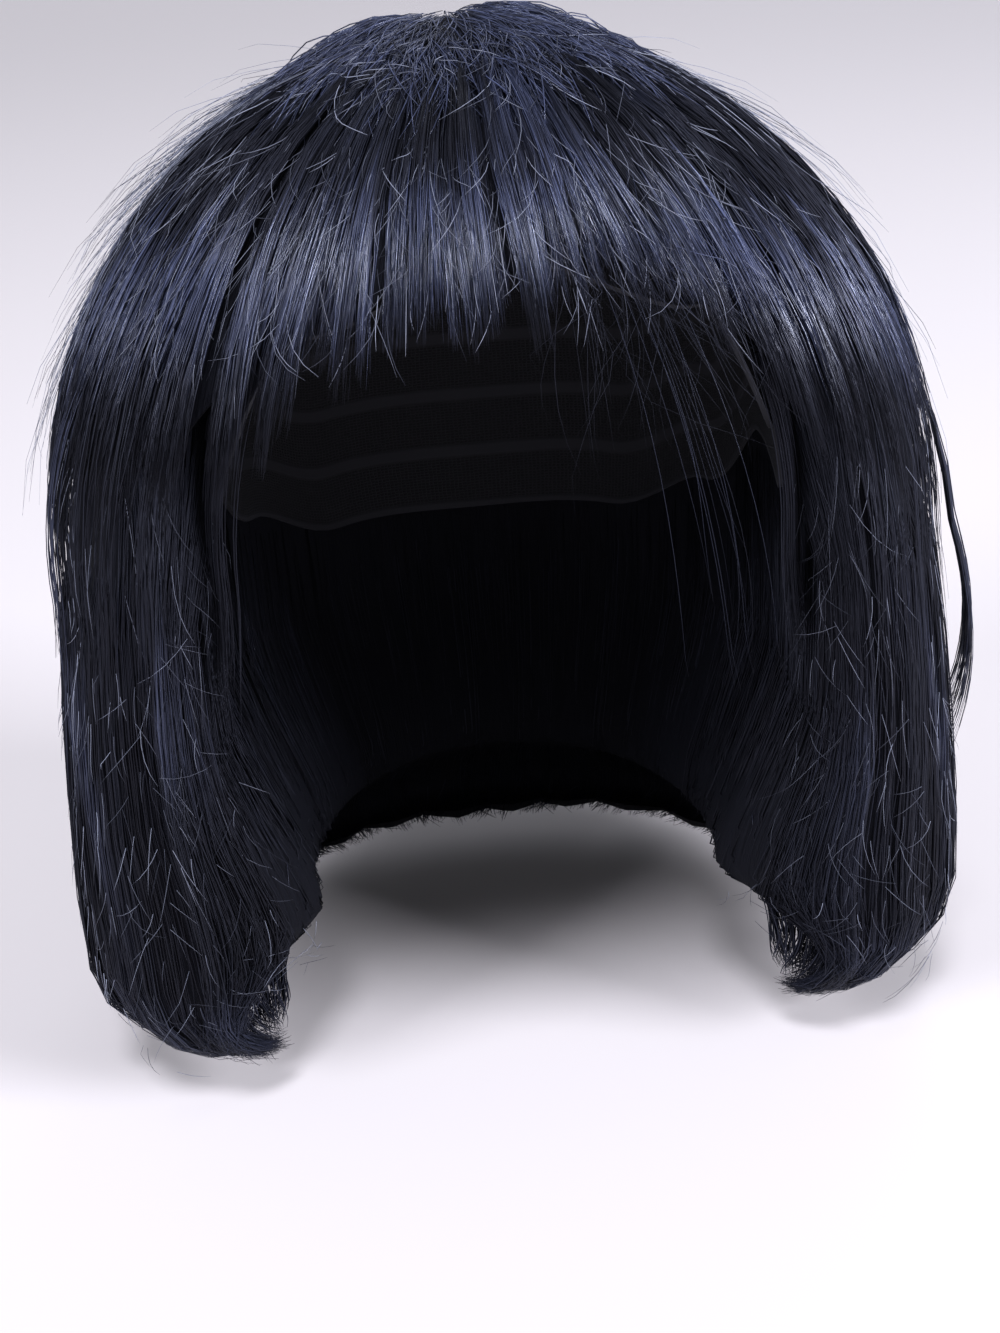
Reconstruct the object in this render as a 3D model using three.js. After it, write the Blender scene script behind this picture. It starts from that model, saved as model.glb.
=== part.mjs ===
// A chin-length bob wig: a stretch cap that carries a crown tuft, a fringe, an upper layer of hair
// that runs round the sides and the back, and a long layer whose ends turn under.
// Millimetres, +Z up, -Y to the front. The origin is the inside of the cap at the top of the head.
import * as THREE from "three";

// The head that the cap is made for
const headHalfWidth = 77;
const headHalfLength = 96;
const headWidestDrop = 108;
const headFullness = 0.8;
const jawDrop = 152;
const rimRun = 13;
const neckHalfWidth = 60;
const neckBackReach = 78;

// The cap
const capThickness = 1.6;
const capNapeDrop = 138;
const clearance = 0.3;
const layerClearance = 0.9;

// The outside of the hair: a dome, a skirt that flares below it, and ends that curl under
const crownRise = 19;
const domeDrop = 110;
const domeHalfWidth = 117;
const domeFrontReach = 113;
const domeBackReach = 118;
const domeFullness = 1;
const skirtDrop = 217;
const skirtHalfWidth = 126.5;
const skirtFrontReach = 117;
const skirtBackReach = 122.5;
const planSquareness = 2.15;
const curlRadius = 34;
const curlTurn = 108;

// The hair itself
const crownTuftReach = 46;
const upperLayerDrop = 122;
const upperThickness = 7;
const lockRelief = 4;
const lockTipThickness = 2;
const upperRootStation = 0.4;
const longRootStation = 0.5;
const upperThinStation = 0.6;
const tipRun = 0.12;
const frontRounding = 0.3;
const edgeAngleRun = 16;

// Half of the angle, from the front, that the fringe covers, and where the side hair begins and ends
const fringeHalfAngle = 48;
const sideFrontAngle = 60;
const sideBackAngle = 112;
const widestColumn = 4;
const stationStep = 0.1;

// How far down the cap's rim and the ends of the upper layer lie, by the angle from the front,
// as shares of capNapeDrop and of upperLayerDrop
const capRim = [
  { azimuth: 0, drop: 0.19 },
  { azimuth: 40, drop: 0.31 },
  { azimuth: 62, drop: 0.58 },
  { azimuth: 76, drop: 0.74 },
  { azimuth: 96, drop: 0.68 },
  { azimuth: 122, drop: 0.86 },
  { azimuth: 150, drop: 0.98 },
  { azimuth: 180, drop: 1 },
];
const upperEnd = [
  { azimuth: 0, drop: 0.34 },
  { azimuth: 21, drop: 0.37 },
  { azimuth: 34, drop: 0.56 },
  { azimuth: 48, drop: 0.62 },
  { azimuth: 66, drop: 0.68 },
  { azimuth: 90, drop: 0.8 },
  { azimuth: 120, drop: 0.93 },
  { azimuth: 180, drop: 1 },
];

// The fringe's locks, from the wearer's right to the wearer's left: the angle from the front, how
// far down the tip hangs as a share of upperLayerDrop, and the degrees that it leans aside
const fringeLocks = [
  { azimuth: -44, tip: 0.58, lean: 0 },
  { azimuth: -36.5, tip: 0.545, lean: 1 },
  { azimuth: -29, tip: 0.45, lean: -1 },
  { azimuth: -21.5, tip: 0.355, lean: 1.5 },
  { azimuth: -13.5, tip: 0.325, lean: 0.5 },
  { azimuth: -5.5, tip: 0.31, lean: 2 },
  { azimuth: 3, tip: 0.335, lean: 1 },
  { azimuth: 11, tip: 0.27, lean: -1 },
  { azimuth: 18.5, tip: 0.275, lean: 2 },
  { azimuth: 26.5, tip: 0.36, lean: 2 },
  { azimuth: 35, tip: 0.53, lean: 1 },
  { azimuth: 43.5, tip: 0.59, lean: 0 },
];

const radians = THREE.MathUtils.degToRad;
const mix = THREE.MathUtils.lerp;
const ease = THREE.MathUtils.smoothstep;
const clamp = THREE.MathUtils.clamp;
const quarterTurn = Math.PI / 2;

function clampedShare(value, from, to) {
  return clamp((value - from) / (to - from), 0, 1);
}

// A flat face between two points of a round surface dips below it, so hair that lies on the cap
// stands off by the clearance and by that dip
function facetDip(reach, turn) {
  return reach * (1 - Math.cos(turn / 2));
}

const seatGap =
  clearance +
  facetDip(headHalfLength, radians(widestColumn)) +
  facetDip(headHalfLength, stationStep * quarterTurn);

// A repeatable value from -1 to 1 for one lock and one of its properties
function scatter(index, property) {
  const wave = Math.sin(index * 12.9898 + property * 78.233) * 43758.5453;
  return 2 * (wave - Math.floor(wave)) - 1;
}

// The drop that a table gives at an angle from the front, the same on both sides, eased between rows
function tableDrop(table, azimuth) {
  const turn = Math.abs(THREE.MathUtils.euclideanModulo(azimuth + 180, 360) - 180);
  const after = Math.max(1, table.findIndex((row) => row.azimuth >= turn));
  const [low, high] = [table[after - 1], table[after]];
  return mix(low.drop, high.drop, ease(turn, low.azimuth, high.azimuth));
}

// The distance from the upright axis to an oval with its own reach to the side, front and back
function planReach(azimuth, side, front, back, squareness) {
  const across = Math.abs(Math.sin(radians(azimuth)));
  const along = Math.cos(radians(azimuth));
  const reach = along > 0 ? front : back;
  const sum = (across / side) ** squareness + (Math.abs(along) / reach) ** squareness;
  return sum ** (-1 / squareness);
}

function headReach(azimuth, offset) {
  return planReach(azimuth, headHalfWidth, headHalfLength, headHalfLength, 2) + offset;
}

// A point of the head's surface, moved out by an offset, as {reach, z}. The angle runs from 0 at
// the top of the head, through 90 degrees at its widest, towards the nape.
function headPoint(azimuth, angle, offset) {
  return {
    reach: headReach(azimuth, offset) * Math.sin(angle) ** headFullness,
    z: offset - (headWidestDrop + offset) * (1 - Math.cos(angle)),
  };
}

function headAngle(z, offset) {
  return Math.acos(1 - (offset - z) / (headWidestDrop + offset));
}

// A station runs along the hair: 0 at the crown, 1 at the dome's lower edge, 2 where the ends
// begin to curl and 3 at their tips. This is the outside of the hair there.
function outerPoint(azimuth, station) {
  const dome = planReach(azimuth, domeHalfWidth, domeFrontReach, domeBackReach, planSquareness);
  const skirt = planReach(azimuth, skirtHalfWidth, skirtFrontReach, skirtBackReach, planSquareness);
  if (station <= 1) {
    const angle = station * quarterTurn;
    return {
      reach: dome * Math.sin(angle) ** domeFullness,
      z: crownRise - (crownRise + domeDrop) * (1 - Math.cos(angle)),
    };
  }
  if (station <= 2) {
    const share = station - 1;
    return {
      reach: mix(dome, skirt, Math.sin(share * quarterTurn)),
      z: mix(-domeDrop, -skirtDrop, share),
    };
  }
  const turn = (station - 2) * radians(curlTurn);
  return {
    reach: skirt - curlRadius * (1 - Math.cos(turn)),
    z: -skirtDrop - curlRadius * Math.sin(turn),
  };
}

// The inside of the hair at a station: it lies on the cap, hangs as straight as the cap's rim lets
// it, draws in below the jaw to lie round the neck, and closes on the tips
function innerPoint(azimuth, station) {
  const offset = capThickness + seatGap;
  if (station <= 1) return headPoint(azimuth, station * quarterTurn, offset);
  const rim = -capNapeDrop * tableDrop(capRim, azimuth);
  const neck = planReach(azimuth, neckHalfWidth, neckHalfWidth, neckBackReach, 2);
  const low = -skirtDrop;
  const hang = (share) => {
    const z = mix(-headWidestDrop, low, share);
    const angle = Math.max(quarterTurn, headAngle(Math.max(z, rim), offset));
    const { reach } = headPoint(azimuth, angle, offset);
    return { reach: mix(reach, neck, ease(-z, Math.max(jawDrop, rimRun - rim), -low)), z };
  };
  if (station <= 2) return hang(station - 1);
  const from = hang(1);
  const tip = outerPoint(azimuth, 3);
  const share = station - 2;
  return {
    reach: mix(from.reach, tip.reach, share),
    z: mix(from.z, tip.z + curlRadius / 3, share),
  };
}

function hairThickness(azimuth, station) {
  const outer = outerPoint(azimuth, station);
  const inner = innerPoint(azimuth, station);
  return Math.hypot(outer.reach - inner.reach, outer.z - inner.z);
}

// A point inside the hair: a depth of 0 mm is the outside, and a depth below 0 counts from the inside
function hairPoint(azimuth, station, depth) {
  const outer = outerPoint(azimuth, station);
  const inner = innerPoint(azimuth, station);
  const share = depth / hairThickness(azimuth, station);
  const reach = mix(outer.reach, inner.reach, share);
  const turn = radians(azimuth);
  return new THREE.Vector3(
    reach * Math.sin(turn),
    -reach * Math.cos(turn),
    mix(outer.z, inner.z, share),
  );
}

// The station at which the outside of the hair is at a height
function stationAt(z) {
  if (z >= -domeDrop) return Math.acos(1 - (crownRise - z) / (crownRise + domeDrop)) / quarterTurn;
  return 1 + (-domeDrop - z) / (skirtDrop - domeDrop);
}

// Where the crown tuft ends, and the upper layer ends at an angle from the front
const crownStation = Math.asin((crownTuftReach / domeHalfWidth) ** (1 / domeFullness)) / quarterTurn;

function upperEndStation(azimuth) {
  return stationAt(-upperLayerDrop * tableDrop(upperEnd, azimuth));
}

// How deep the upper layer goes: all the way to the cap near its roots, and thin at its tips
function upperDepth(azimuth, station) {
  const full = hairThickness(azimuth, station);
  const end = upperEndStation(azimuth);
  const thin = clampedShare(station, upperRootStation, upperThinStation);
  const laid = mix(full, Math.min(full, upperThickness), thin);
  return mix(laid, lockTipThickness, clampedShare(station, end - tipRun, end));
}

function toGeometry(points, triangles) {
  const geometry = new THREE.BufferGeometry().setFromPoints(points);
  geometry.setIndex(triangles);
  return geometry;
}

// Two triangles for a four-sided face
function face(a, b, c, d) {
  return [a, b, c, a, c, d];
}

// A bent slab: its outside and inside are grids of columns by rows, joined by a wall at each edge
function slab(columns, rows, pointAt) {
  const points = [];
  for (const side of [0, 1])
    for (let j = 0; j <= rows; j += 1)
      for (let i = 0; i <= columns; i += 1) points.push(pointAt(i, j, side));
  const at = (i, j, side) => side * (rows + 1) * (columns + 1) + j * (columns + 1) + i;
  const triangles = [];
  for (let j = 0; j < rows; j += 1)
    for (let i = 0; i < columns; i += 1) {
      triangles.push(...face(at(i, j, 0), at(i, j + 1, 0), at(i + 1, j + 1, 0), at(i + 1, j, 0)));
      triangles.push(...face(at(i, j, 1), at(i + 1, j, 1), at(i + 1, j + 1, 1), at(i, j + 1, 1)));
    }
  for (let i = 0; i < columns; i += 1) {
    triangles.push(...face(at(i, 0, 0), at(i + 1, 0, 0), at(i + 1, 0, 1), at(i, 0, 1)));
    triangles.push(...face(at(i, rows, 0), at(i, rows, 1), at(i + 1, rows, 1), at(i + 1, rows, 0)));
  }
  for (let j = 0; j < rows; j += 1) {
    triangles.push(...face(at(0, j, 0), at(0, j, 1), at(0, j + 1, 1), at(0, j + 1, 0)));
    triangles.push(
      ...face(at(columns, j, 0), at(columns, j + 1, 0), at(columns, j + 1, 1), at(columns, j, 1)),
    );
  }
  return toGeometry(points, triangles);
}

// A hollow dome: rings of an outside and an inside that each close on a point at the top
function dome(columns, rows, pointAt) {
  const points = [pointAt(0, 0, 0), pointAt(0, 0, 1)];
  for (const side of [0, 1])
    for (let j = 1; j <= rows; j += 1)
      for (let i = 0; i < columns; i += 1) points.push(pointAt(i, j, side));
  const at = (i, j, side) => 2 + side * rows * columns + (j - 1) * columns + (i % columns);
  const triangles = [];
  for (let i = 0; i < columns; i += 1) {
    triangles.push(0, at(i, 1, 0), at(i + 1, 1, 0), 1, at(i + 1, 1, 1), at(i, 1, 1));
    for (let j = 1; j < rows; j += 1) {
      triangles.push(...face(at(i, j, 0), at(i, j + 1, 0), at(i + 1, j + 1, 0), at(i + 1, j, 0)));
      triangles.push(...face(at(i, j, 1), at(i + 1, j, 1), at(i + 1, j + 1, 1), at(i, j + 1, 1)));
    }
    triangles.push(...face(at(i, rows, 0), at(i, rows, 1), at(i + 1, rows, 1), at(i + 1, rows, 0)));
  }
  return toGeometry(points, triangles);
}

// The stations from one to another, with those in between on one grid that all layers share: close
// together on the dome and round the curl, and further apart down the skirt
function stationRows(from, to) {
  const margin = stationStep / 4;
  const grid = [];
  for (let k = 1; k <= 12; k += 1) grid.push(k * stationStep);
  grid.push(1.45, 1.75, 2, 2.17, 2.34, 2.51, 2.68, 2.84);
  return [from, ...grid.filter((station) => station > from + margin && station < to - margin), to];
}

// The angle that keeps a piece clear of the one beside it
function edgeAngle(azimuth, station) {
  const near = Math.min(outerPoint(azimuth, station).reach, innerPoint(azimuth, station).reach);
  return THREE.MathUtils.radToDeg(clearance / 2 / near);
}

// The columns of a layer between two angles, four to a lock from one groove to the next. Each has
// its groove share, 0 on the lock's crest and 1 in the groove, and the station where it ends, so
// that the layer's edge runs out to each tip and back to a notch.
function lockColumns(locks, from, to) {
  const groove = (k) => {
    const beside = [locks[k - 1] ?? locks[k], locks[k] ?? locks[k - 1]];
    const [azimuth, lean] = ["azimuth", "lean"].map((key) => (beside[0][key] + beside[1][key]) / 2);
    const end = Math.min(beside[0].tip, beside[1].tip) - tipRun;
    const edge = k === 0 ? from : k === locks.length ? to : azimuth;
    return { azimuth: edge, share: 1, end, lean };
  };
  const columns = [groove(0)];
  locks.forEach(({ azimuth, tip, lean }, k) => {
    const crest = { azimuth, share: 0, end: tip, lean };
    const next = groove(k + 1);
    columns.push(halfWay(columns.at(-1), crest), crest, halfWay(crest, next), next);
  });
  return columns;
}

function halfWay(a, b) {
  const keys = ["azimuth", "share", "end", "lean"];
  return Object.fromEntries(keys.map((key) => [key, (a[key] + b[key]) / 2]));
}

// A layer of hair between two angles, as one body from its crests down to its underside
function hairLayer({ from, to, root, crest, relief, under, locks }) {
  const columns = lockColumns(locks, from, to);
  const ends = columns.map((column) => column.end);
  const shared = stationRows(root, Math.min(...ends)).slice(0, -1);
  const own = Math.ceil((Math.max(...ends) - shared.at(-1)) / (1.4 * stationStep));
  return slab(columns.length - 1, shared.length - 1 + own, (i, j, side) => {
    const { azimuth, share, end, lean } = columns[i];
    const past = (j - shared.length + 1) / own;
    const station = past > 0 ? mix(shared.at(-1), end, past) : shared[j];
    const edge = edgeAngle(azimuth, station);
    const bend = lean * ease(station, mix(root, end, 0.4), end);
    const turned = clamp(azimuth + bend, from + edge, to - edge);
    const top = crest(turned, station) + relief(turned, station) * share ** 2;
    if (side === 0) return hairPoint(turned, station, top);
    return hairPoint(turned, station, Math.max(under(turned, station), top + lockTipThickness));
  });
}

// Locks side by side between two angles, each a little different from the next
function lockRow(count, from, to, seed, tipAt) {
  const width = (to - from) / count;
  return Array.from({ length: count }, (_, k) => {
    const azimuth = from + width * (k + 0.5 + 0.12 * scatter(k, seed + 2));
    const lean = width * 0.25 * scatter(k, seed);
    return { azimuth, lean, tip: tipAt(azimuth, scatter(k, seed + 1)) };
  });
}

function wigCap() {
  const columns = 30;
  const rows = 7;
  return dome(columns, rows, (i, j, side) => {
    const azimuth = (i / columns) * 360;
    const offset = side === 0 ? capThickness : 0;
    const rimAngle = headAngle(-capNapeDrop * tableDrop(capRim, azimuth), capThickness);
    const { reach, z } = headPoint(azimuth, (rimAngle * j) / rows, offset);
    const turn = radians(azimuth);
    return new THREE.Vector3(reach * Math.sin(turn), -reach * Math.cos(turn), z);
  });
}

// The tuft covers the crown, and its locks spread out from the middle
function crownTuft() {
  const rows = 4;
  const locks = 10;
  const end = crownStation - clearance / domeHalfWidth / quarterTurn;
  return dome(4 * locks, rows, (i, j, side) => {
    const azimuth = (i / (4 * locks)) * 360;
    const station = end * (j / rows);
    const share = Math.abs(1 - (i % 4) / 2);
    const relief = (lockRelief * share ** 2 * j) / rows;
    return hairPoint(azimuth, station, side === 0 ? relief : hairThickness(azimuth, station));
  });
}

function upperLayer(from, to, locks) {
  return hairLayer({
    from,
    to,
    root: crownStation,
    crest: () => 0,
    relief: () => lockRelief,
    under: upperDepth,
    locks,
  });
}

function fringe() {
  const locks = fringeLocks.map((row) => ({ ...row, tip: stationAt(-upperLayerDrop * row.tip) }));
  return upperLayer(-fringeHalfAngle, fringeHalfAngle, locks);
}

function upperHair(from, to, count, seed) {
  const tipAt = (azimuth, extra) => upperEndStation(azimuth) - 0.03 * (1 + extra);
  return upperLayer(from, to, lockRow(count, from, to, seed, tipAt));
}

// 0 under the upper layer and 1 below its ends
function clearOfUpper(azimuth, station) {
  const end = upperEndStation(azimuth);
  return clampedShare(station, end - tipRun, end);
}

// The side hair's edge at the face is round: both its faces draw in towards each other there
function edgeRounding(azimuth, station) {
  const turn = Math.abs(THREE.MathUtils.euclideanModulo(azimuth + 180, 360) - 180);
  const share = 1 - clampedShare(turn, sideFrontAngle, sideFrontAngle + edgeAngleRun);
  return hairThickness(azimuth, station) * frontRounding * share ** 2 * clearOfUpper(azimuth, station);
}

// The long layer lies under the upper one and comes out to the full shape below the upper ends
function longCrest(azimuth, station) {
  const end = upperEndStation(azimuth);
  const hidden = upperDepth(azimuth, station) + layerClearance;
  return mix(hidden, 0, ease(station, end, end + 1.5 * tipRun)) + edgeRounding(azimuth, station);
}

// Its grooves begin where it comes out, and run out towards the tips
function longRelief(azimuth, station) {
  const groove = mix(lockRelief, lockTipThickness / 2, ease(station, 2, 3));
  return groove * clearOfUpper(azimuth, station);
}

function longUnder(azimuth, station) {
  const full = hairThickness(azimuth, station);
  const end = Math.min(full, lockRelief + lockTipThickness);
  return mix(full, end, ease(station, 2, 2.8)) - edgeRounding(azimuth, station);
}

function longHair(from, to, count, seed) {
  const tipAt = (azimuth, extra) => 2.92 + 0.08 * extra;
  return hairLayer({
    from,
    to,
    root: longRootStation,
    crest: longCrest,
    relief: longRelief,
    under: longUnder,
    locks: lockRow(count, from, to, seed, tipAt),
  });
}

const black = { color: 0x0b0c12, roughness: 0.42, metalness: 0 };
const net = { color: 0x101014, roughness: 0.9, metalness: 0 };

function piece(name, geometry, look) {
  geometry.computeVertexNormals();
  const mesh = new THREE.Mesh(geometry, new THREE.MeshStandardMaterial(look));
  mesh.name = name;
  return mesh;
}

const wig = new THREE.Group();
wig.add(piece("wig_cap", wigCap(), net));
wig.add(piece("crown_tuft", crownTuft(), black));
wig.add(piece("fringe", fringe(), black));
wig.add(piece("upper_side_left", upperHair(fringeHalfAngle, sideBackAngle, 6, 3), black));
wig.add(piece("upper_side_right", upperHair(-sideBackAngle, -fringeHalfAngle, 6, 5), black));
wig.add(piece("upper_back", upperHair(sideBackAngle, 360 - sideBackAngle, 10, 7), black));
wig.add(piece("side_hair_left", longHair(sideFrontAngle, sideBackAngle, 5, 11), black));
wig.add(piece("side_hair_right", longHair(-sideBackAngle, -sideFrontAngle, 5, 13), black));
wig.add(piece("back_hair", longHair(sideBackAngle, 360 - sideBackAngle, 10, 17), black));

export default wig;
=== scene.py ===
"""A chin-length bob wig in its worn form, with a choppy fringe and ends that turn under.

The hair is drawn in coordinates of its own: an azimuth in degrees round the head from the front
towards the wearer's left, a station down the hair, and a depth in millimetres below its outside.
Station 0 is the crown, 1 the dome's lower edge, 2 the place where the ends begin to curl and 3
their tips. Each piece of hair is a closed body with its locks in relief, under single strands that
follow the same locks. Sizes are in millimetres until a mesh is made.
"""

from __future__ import annotations

import logging
from dataclasses import dataclass, field, replace
from enum import Enum

import bpy
import numpy as np
from mathutils import Matrix, Vector

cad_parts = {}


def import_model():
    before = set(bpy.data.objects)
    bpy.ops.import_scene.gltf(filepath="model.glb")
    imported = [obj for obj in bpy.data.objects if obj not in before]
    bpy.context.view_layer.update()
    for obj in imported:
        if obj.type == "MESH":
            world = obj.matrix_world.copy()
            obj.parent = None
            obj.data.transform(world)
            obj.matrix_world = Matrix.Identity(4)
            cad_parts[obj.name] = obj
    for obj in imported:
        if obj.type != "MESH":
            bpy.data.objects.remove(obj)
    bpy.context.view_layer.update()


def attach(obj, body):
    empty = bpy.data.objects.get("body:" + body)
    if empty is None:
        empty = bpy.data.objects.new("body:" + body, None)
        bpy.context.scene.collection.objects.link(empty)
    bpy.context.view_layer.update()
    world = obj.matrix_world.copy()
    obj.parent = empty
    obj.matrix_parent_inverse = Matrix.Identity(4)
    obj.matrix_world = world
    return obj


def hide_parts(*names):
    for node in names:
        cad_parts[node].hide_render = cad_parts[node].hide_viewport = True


log = logging.getLogger("bob_wig")

Array = np.ndarray
Colour = tuple[float, float, float, float]
QUARTER_TURN = np.pi / 2
METRES = 0.001
TINY = 1e-9

# What turns an index and a key into a scattered value
INDEX_STEP, KEY_STEP, WAVE_HEIGHT = 12.9898, 78.233, 43758.5453

# A point on the upright axis inside the hair, which every strand's top corner points away from
MIDDLE = np.array([0.0, 0.0, -120.0])


def mix(a: Array, b: Array, share: Array) -> Array:
    """Go from a to b by a share: a + (b - a) share."""
    return a + (b - a) * share


def ramp(value: Array, low: Array, high: Array) -> Array:
    """Rise in a straight line from 0 at low to 1 at high."""
    return np.clip((value - low) / (high - low), 0.0, 1.0)


def ease(value: Array, low: Array, high: Array) -> Array:
    """Rise smoothly from 0 at low to 1 at high: 3 t^2 - 2 t^3 of the straight ramp t."""
    share = ramp(value, low, high)
    return share * share * (3.0 - 2.0 * share)


def scatter(index: Array, key: int) -> Array:
    """Give a repeatable value from -1 to 1 for each index and one property of it."""
    wave = np.sin(index * INDEX_STEP + key * KEY_STEP) * WAVE_HEIGHT
    return 2.0 * (wave - np.floor(wave)) - 1.0


def column(values: Array) -> Array:
    """Stand one value a strand upright, to meet a row of steps down the strand."""
    return np.asarray(values)[:, None]


def from_front(azimuth: Array) -> Array:
    """Give the angle from the front, from 0 to 180 degrees on either side."""
    return np.abs((np.asarray(azimuth, float) + 180.0) % 360.0 - 180.0)


def around(reach: Array, azimuth: Array, z: Array) -> Array:
    """Place points: x is reach times sin azimuth, y is less reach times cos azimuth.

    Args:
        reach: Millimetres from the upright axis.
        azimuth: Degrees round the head from the front.
        z: The height.

    Returns:
        The points, with their coordinates on the last axis.
    """
    turn = np.radians(azimuth)
    return np.stack([reach * np.sin(turn), -reach * np.cos(turn), z + 0.0 * reach], axis=-1)


def plan_reach(azimuth: Array, side: float, front: float, back: float, squareness: float) -> Array:
    """Measure from the upright axis to an oval.

    The oval is |x / side|^n + |y / reach|^n = 1, with its own reach in front and behind.

    Args:
        azimuth: Degrees round the head from the front.
        side: Reach to the side.
        front: Reach to the front.
        back: Reach to the back.
        squareness: The power n.

    Returns:
        The distance in millimetres.
    """
    turn = np.radians(azimuth)
    reach = np.where(np.cos(turn) > 0, front, back)
    total = np.abs(np.sin(turn) / side) ** squareness + np.abs(np.cos(turn) / reach) ** squareness
    return total ** (-1.0 / squareness)


@dataclass(frozen=True)
class DropTable:
    """How far down something hangs by the angle from the front, eased between rows."""

    azimuths: tuple[float, ...]
    shares: tuple[float, ...]
    drop: float

    def at(self, azimuth: Array) -> Array:
        """Give the drop at each azimuth: the drop times a share, eased from one row to the next.

        Args:
            azimuth: Degrees round the head.

        Returns:
            The drop in millimetres, the same on both sides.
        """
        turn = from_front(azimuth)
        rows, shares = np.array(self.azimuths), np.array(self.shares)
        after = np.clip(np.searchsorted(rows, turn), 1, len(rows) - 1)
        share = ease(turn, rows[after - 1], rows[after])
        return self.drop * mix(shares[after - 1], shares[after], share)


@dataclass(frozen=True)
class HeadForm:
    """The head that the cap is made for, and the neck below it."""

    half_width: float = 77.0
    half_length: float = 96.0
    widest_drop: float = 108.0
    fullness: float = 0.8
    jaw_drop: float = 152.0
    rim_run: float = 13.0
    neck_half_width: float = 60.0
    neck_back_reach: float = 78.0

    def point(self, azimuth: Array, angle: Array, offset: float) -> tuple[Array, Array]:
        """Give reach and height on the head: oval (sin angle)^fullness and a cosine drop.

        Args:
            azimuth: Degrees round the head.
            angle: Angle from the top of the head.
            offset: Millimetres off the head.

        Returns:
            The reach from the upright axis and the height.
        """
        oval = plan_reach(azimuth, self.half_width, self.half_length, self.half_length, 2.0)
        reach = (oval + offset) * np.sin(angle) ** self.fullness
        return reach, offset - (self.widest_drop + offset) * (1.0 - np.cos(angle))

    def angle_at(self, z: Array, offset: float) -> Array:
        """Give the angle from the top of the head at a height."""
        return np.arccos(1.0 - (offset - z) / (self.widest_drop + offset))

    def neck_reach(self, azimuth: Array) -> Array:
        """Give the reach of the hair's inside round the neck."""
        width = self.neck_half_width
        return plan_reach(azimuth, width, width, self.neck_back_reach, 2.0)


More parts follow.
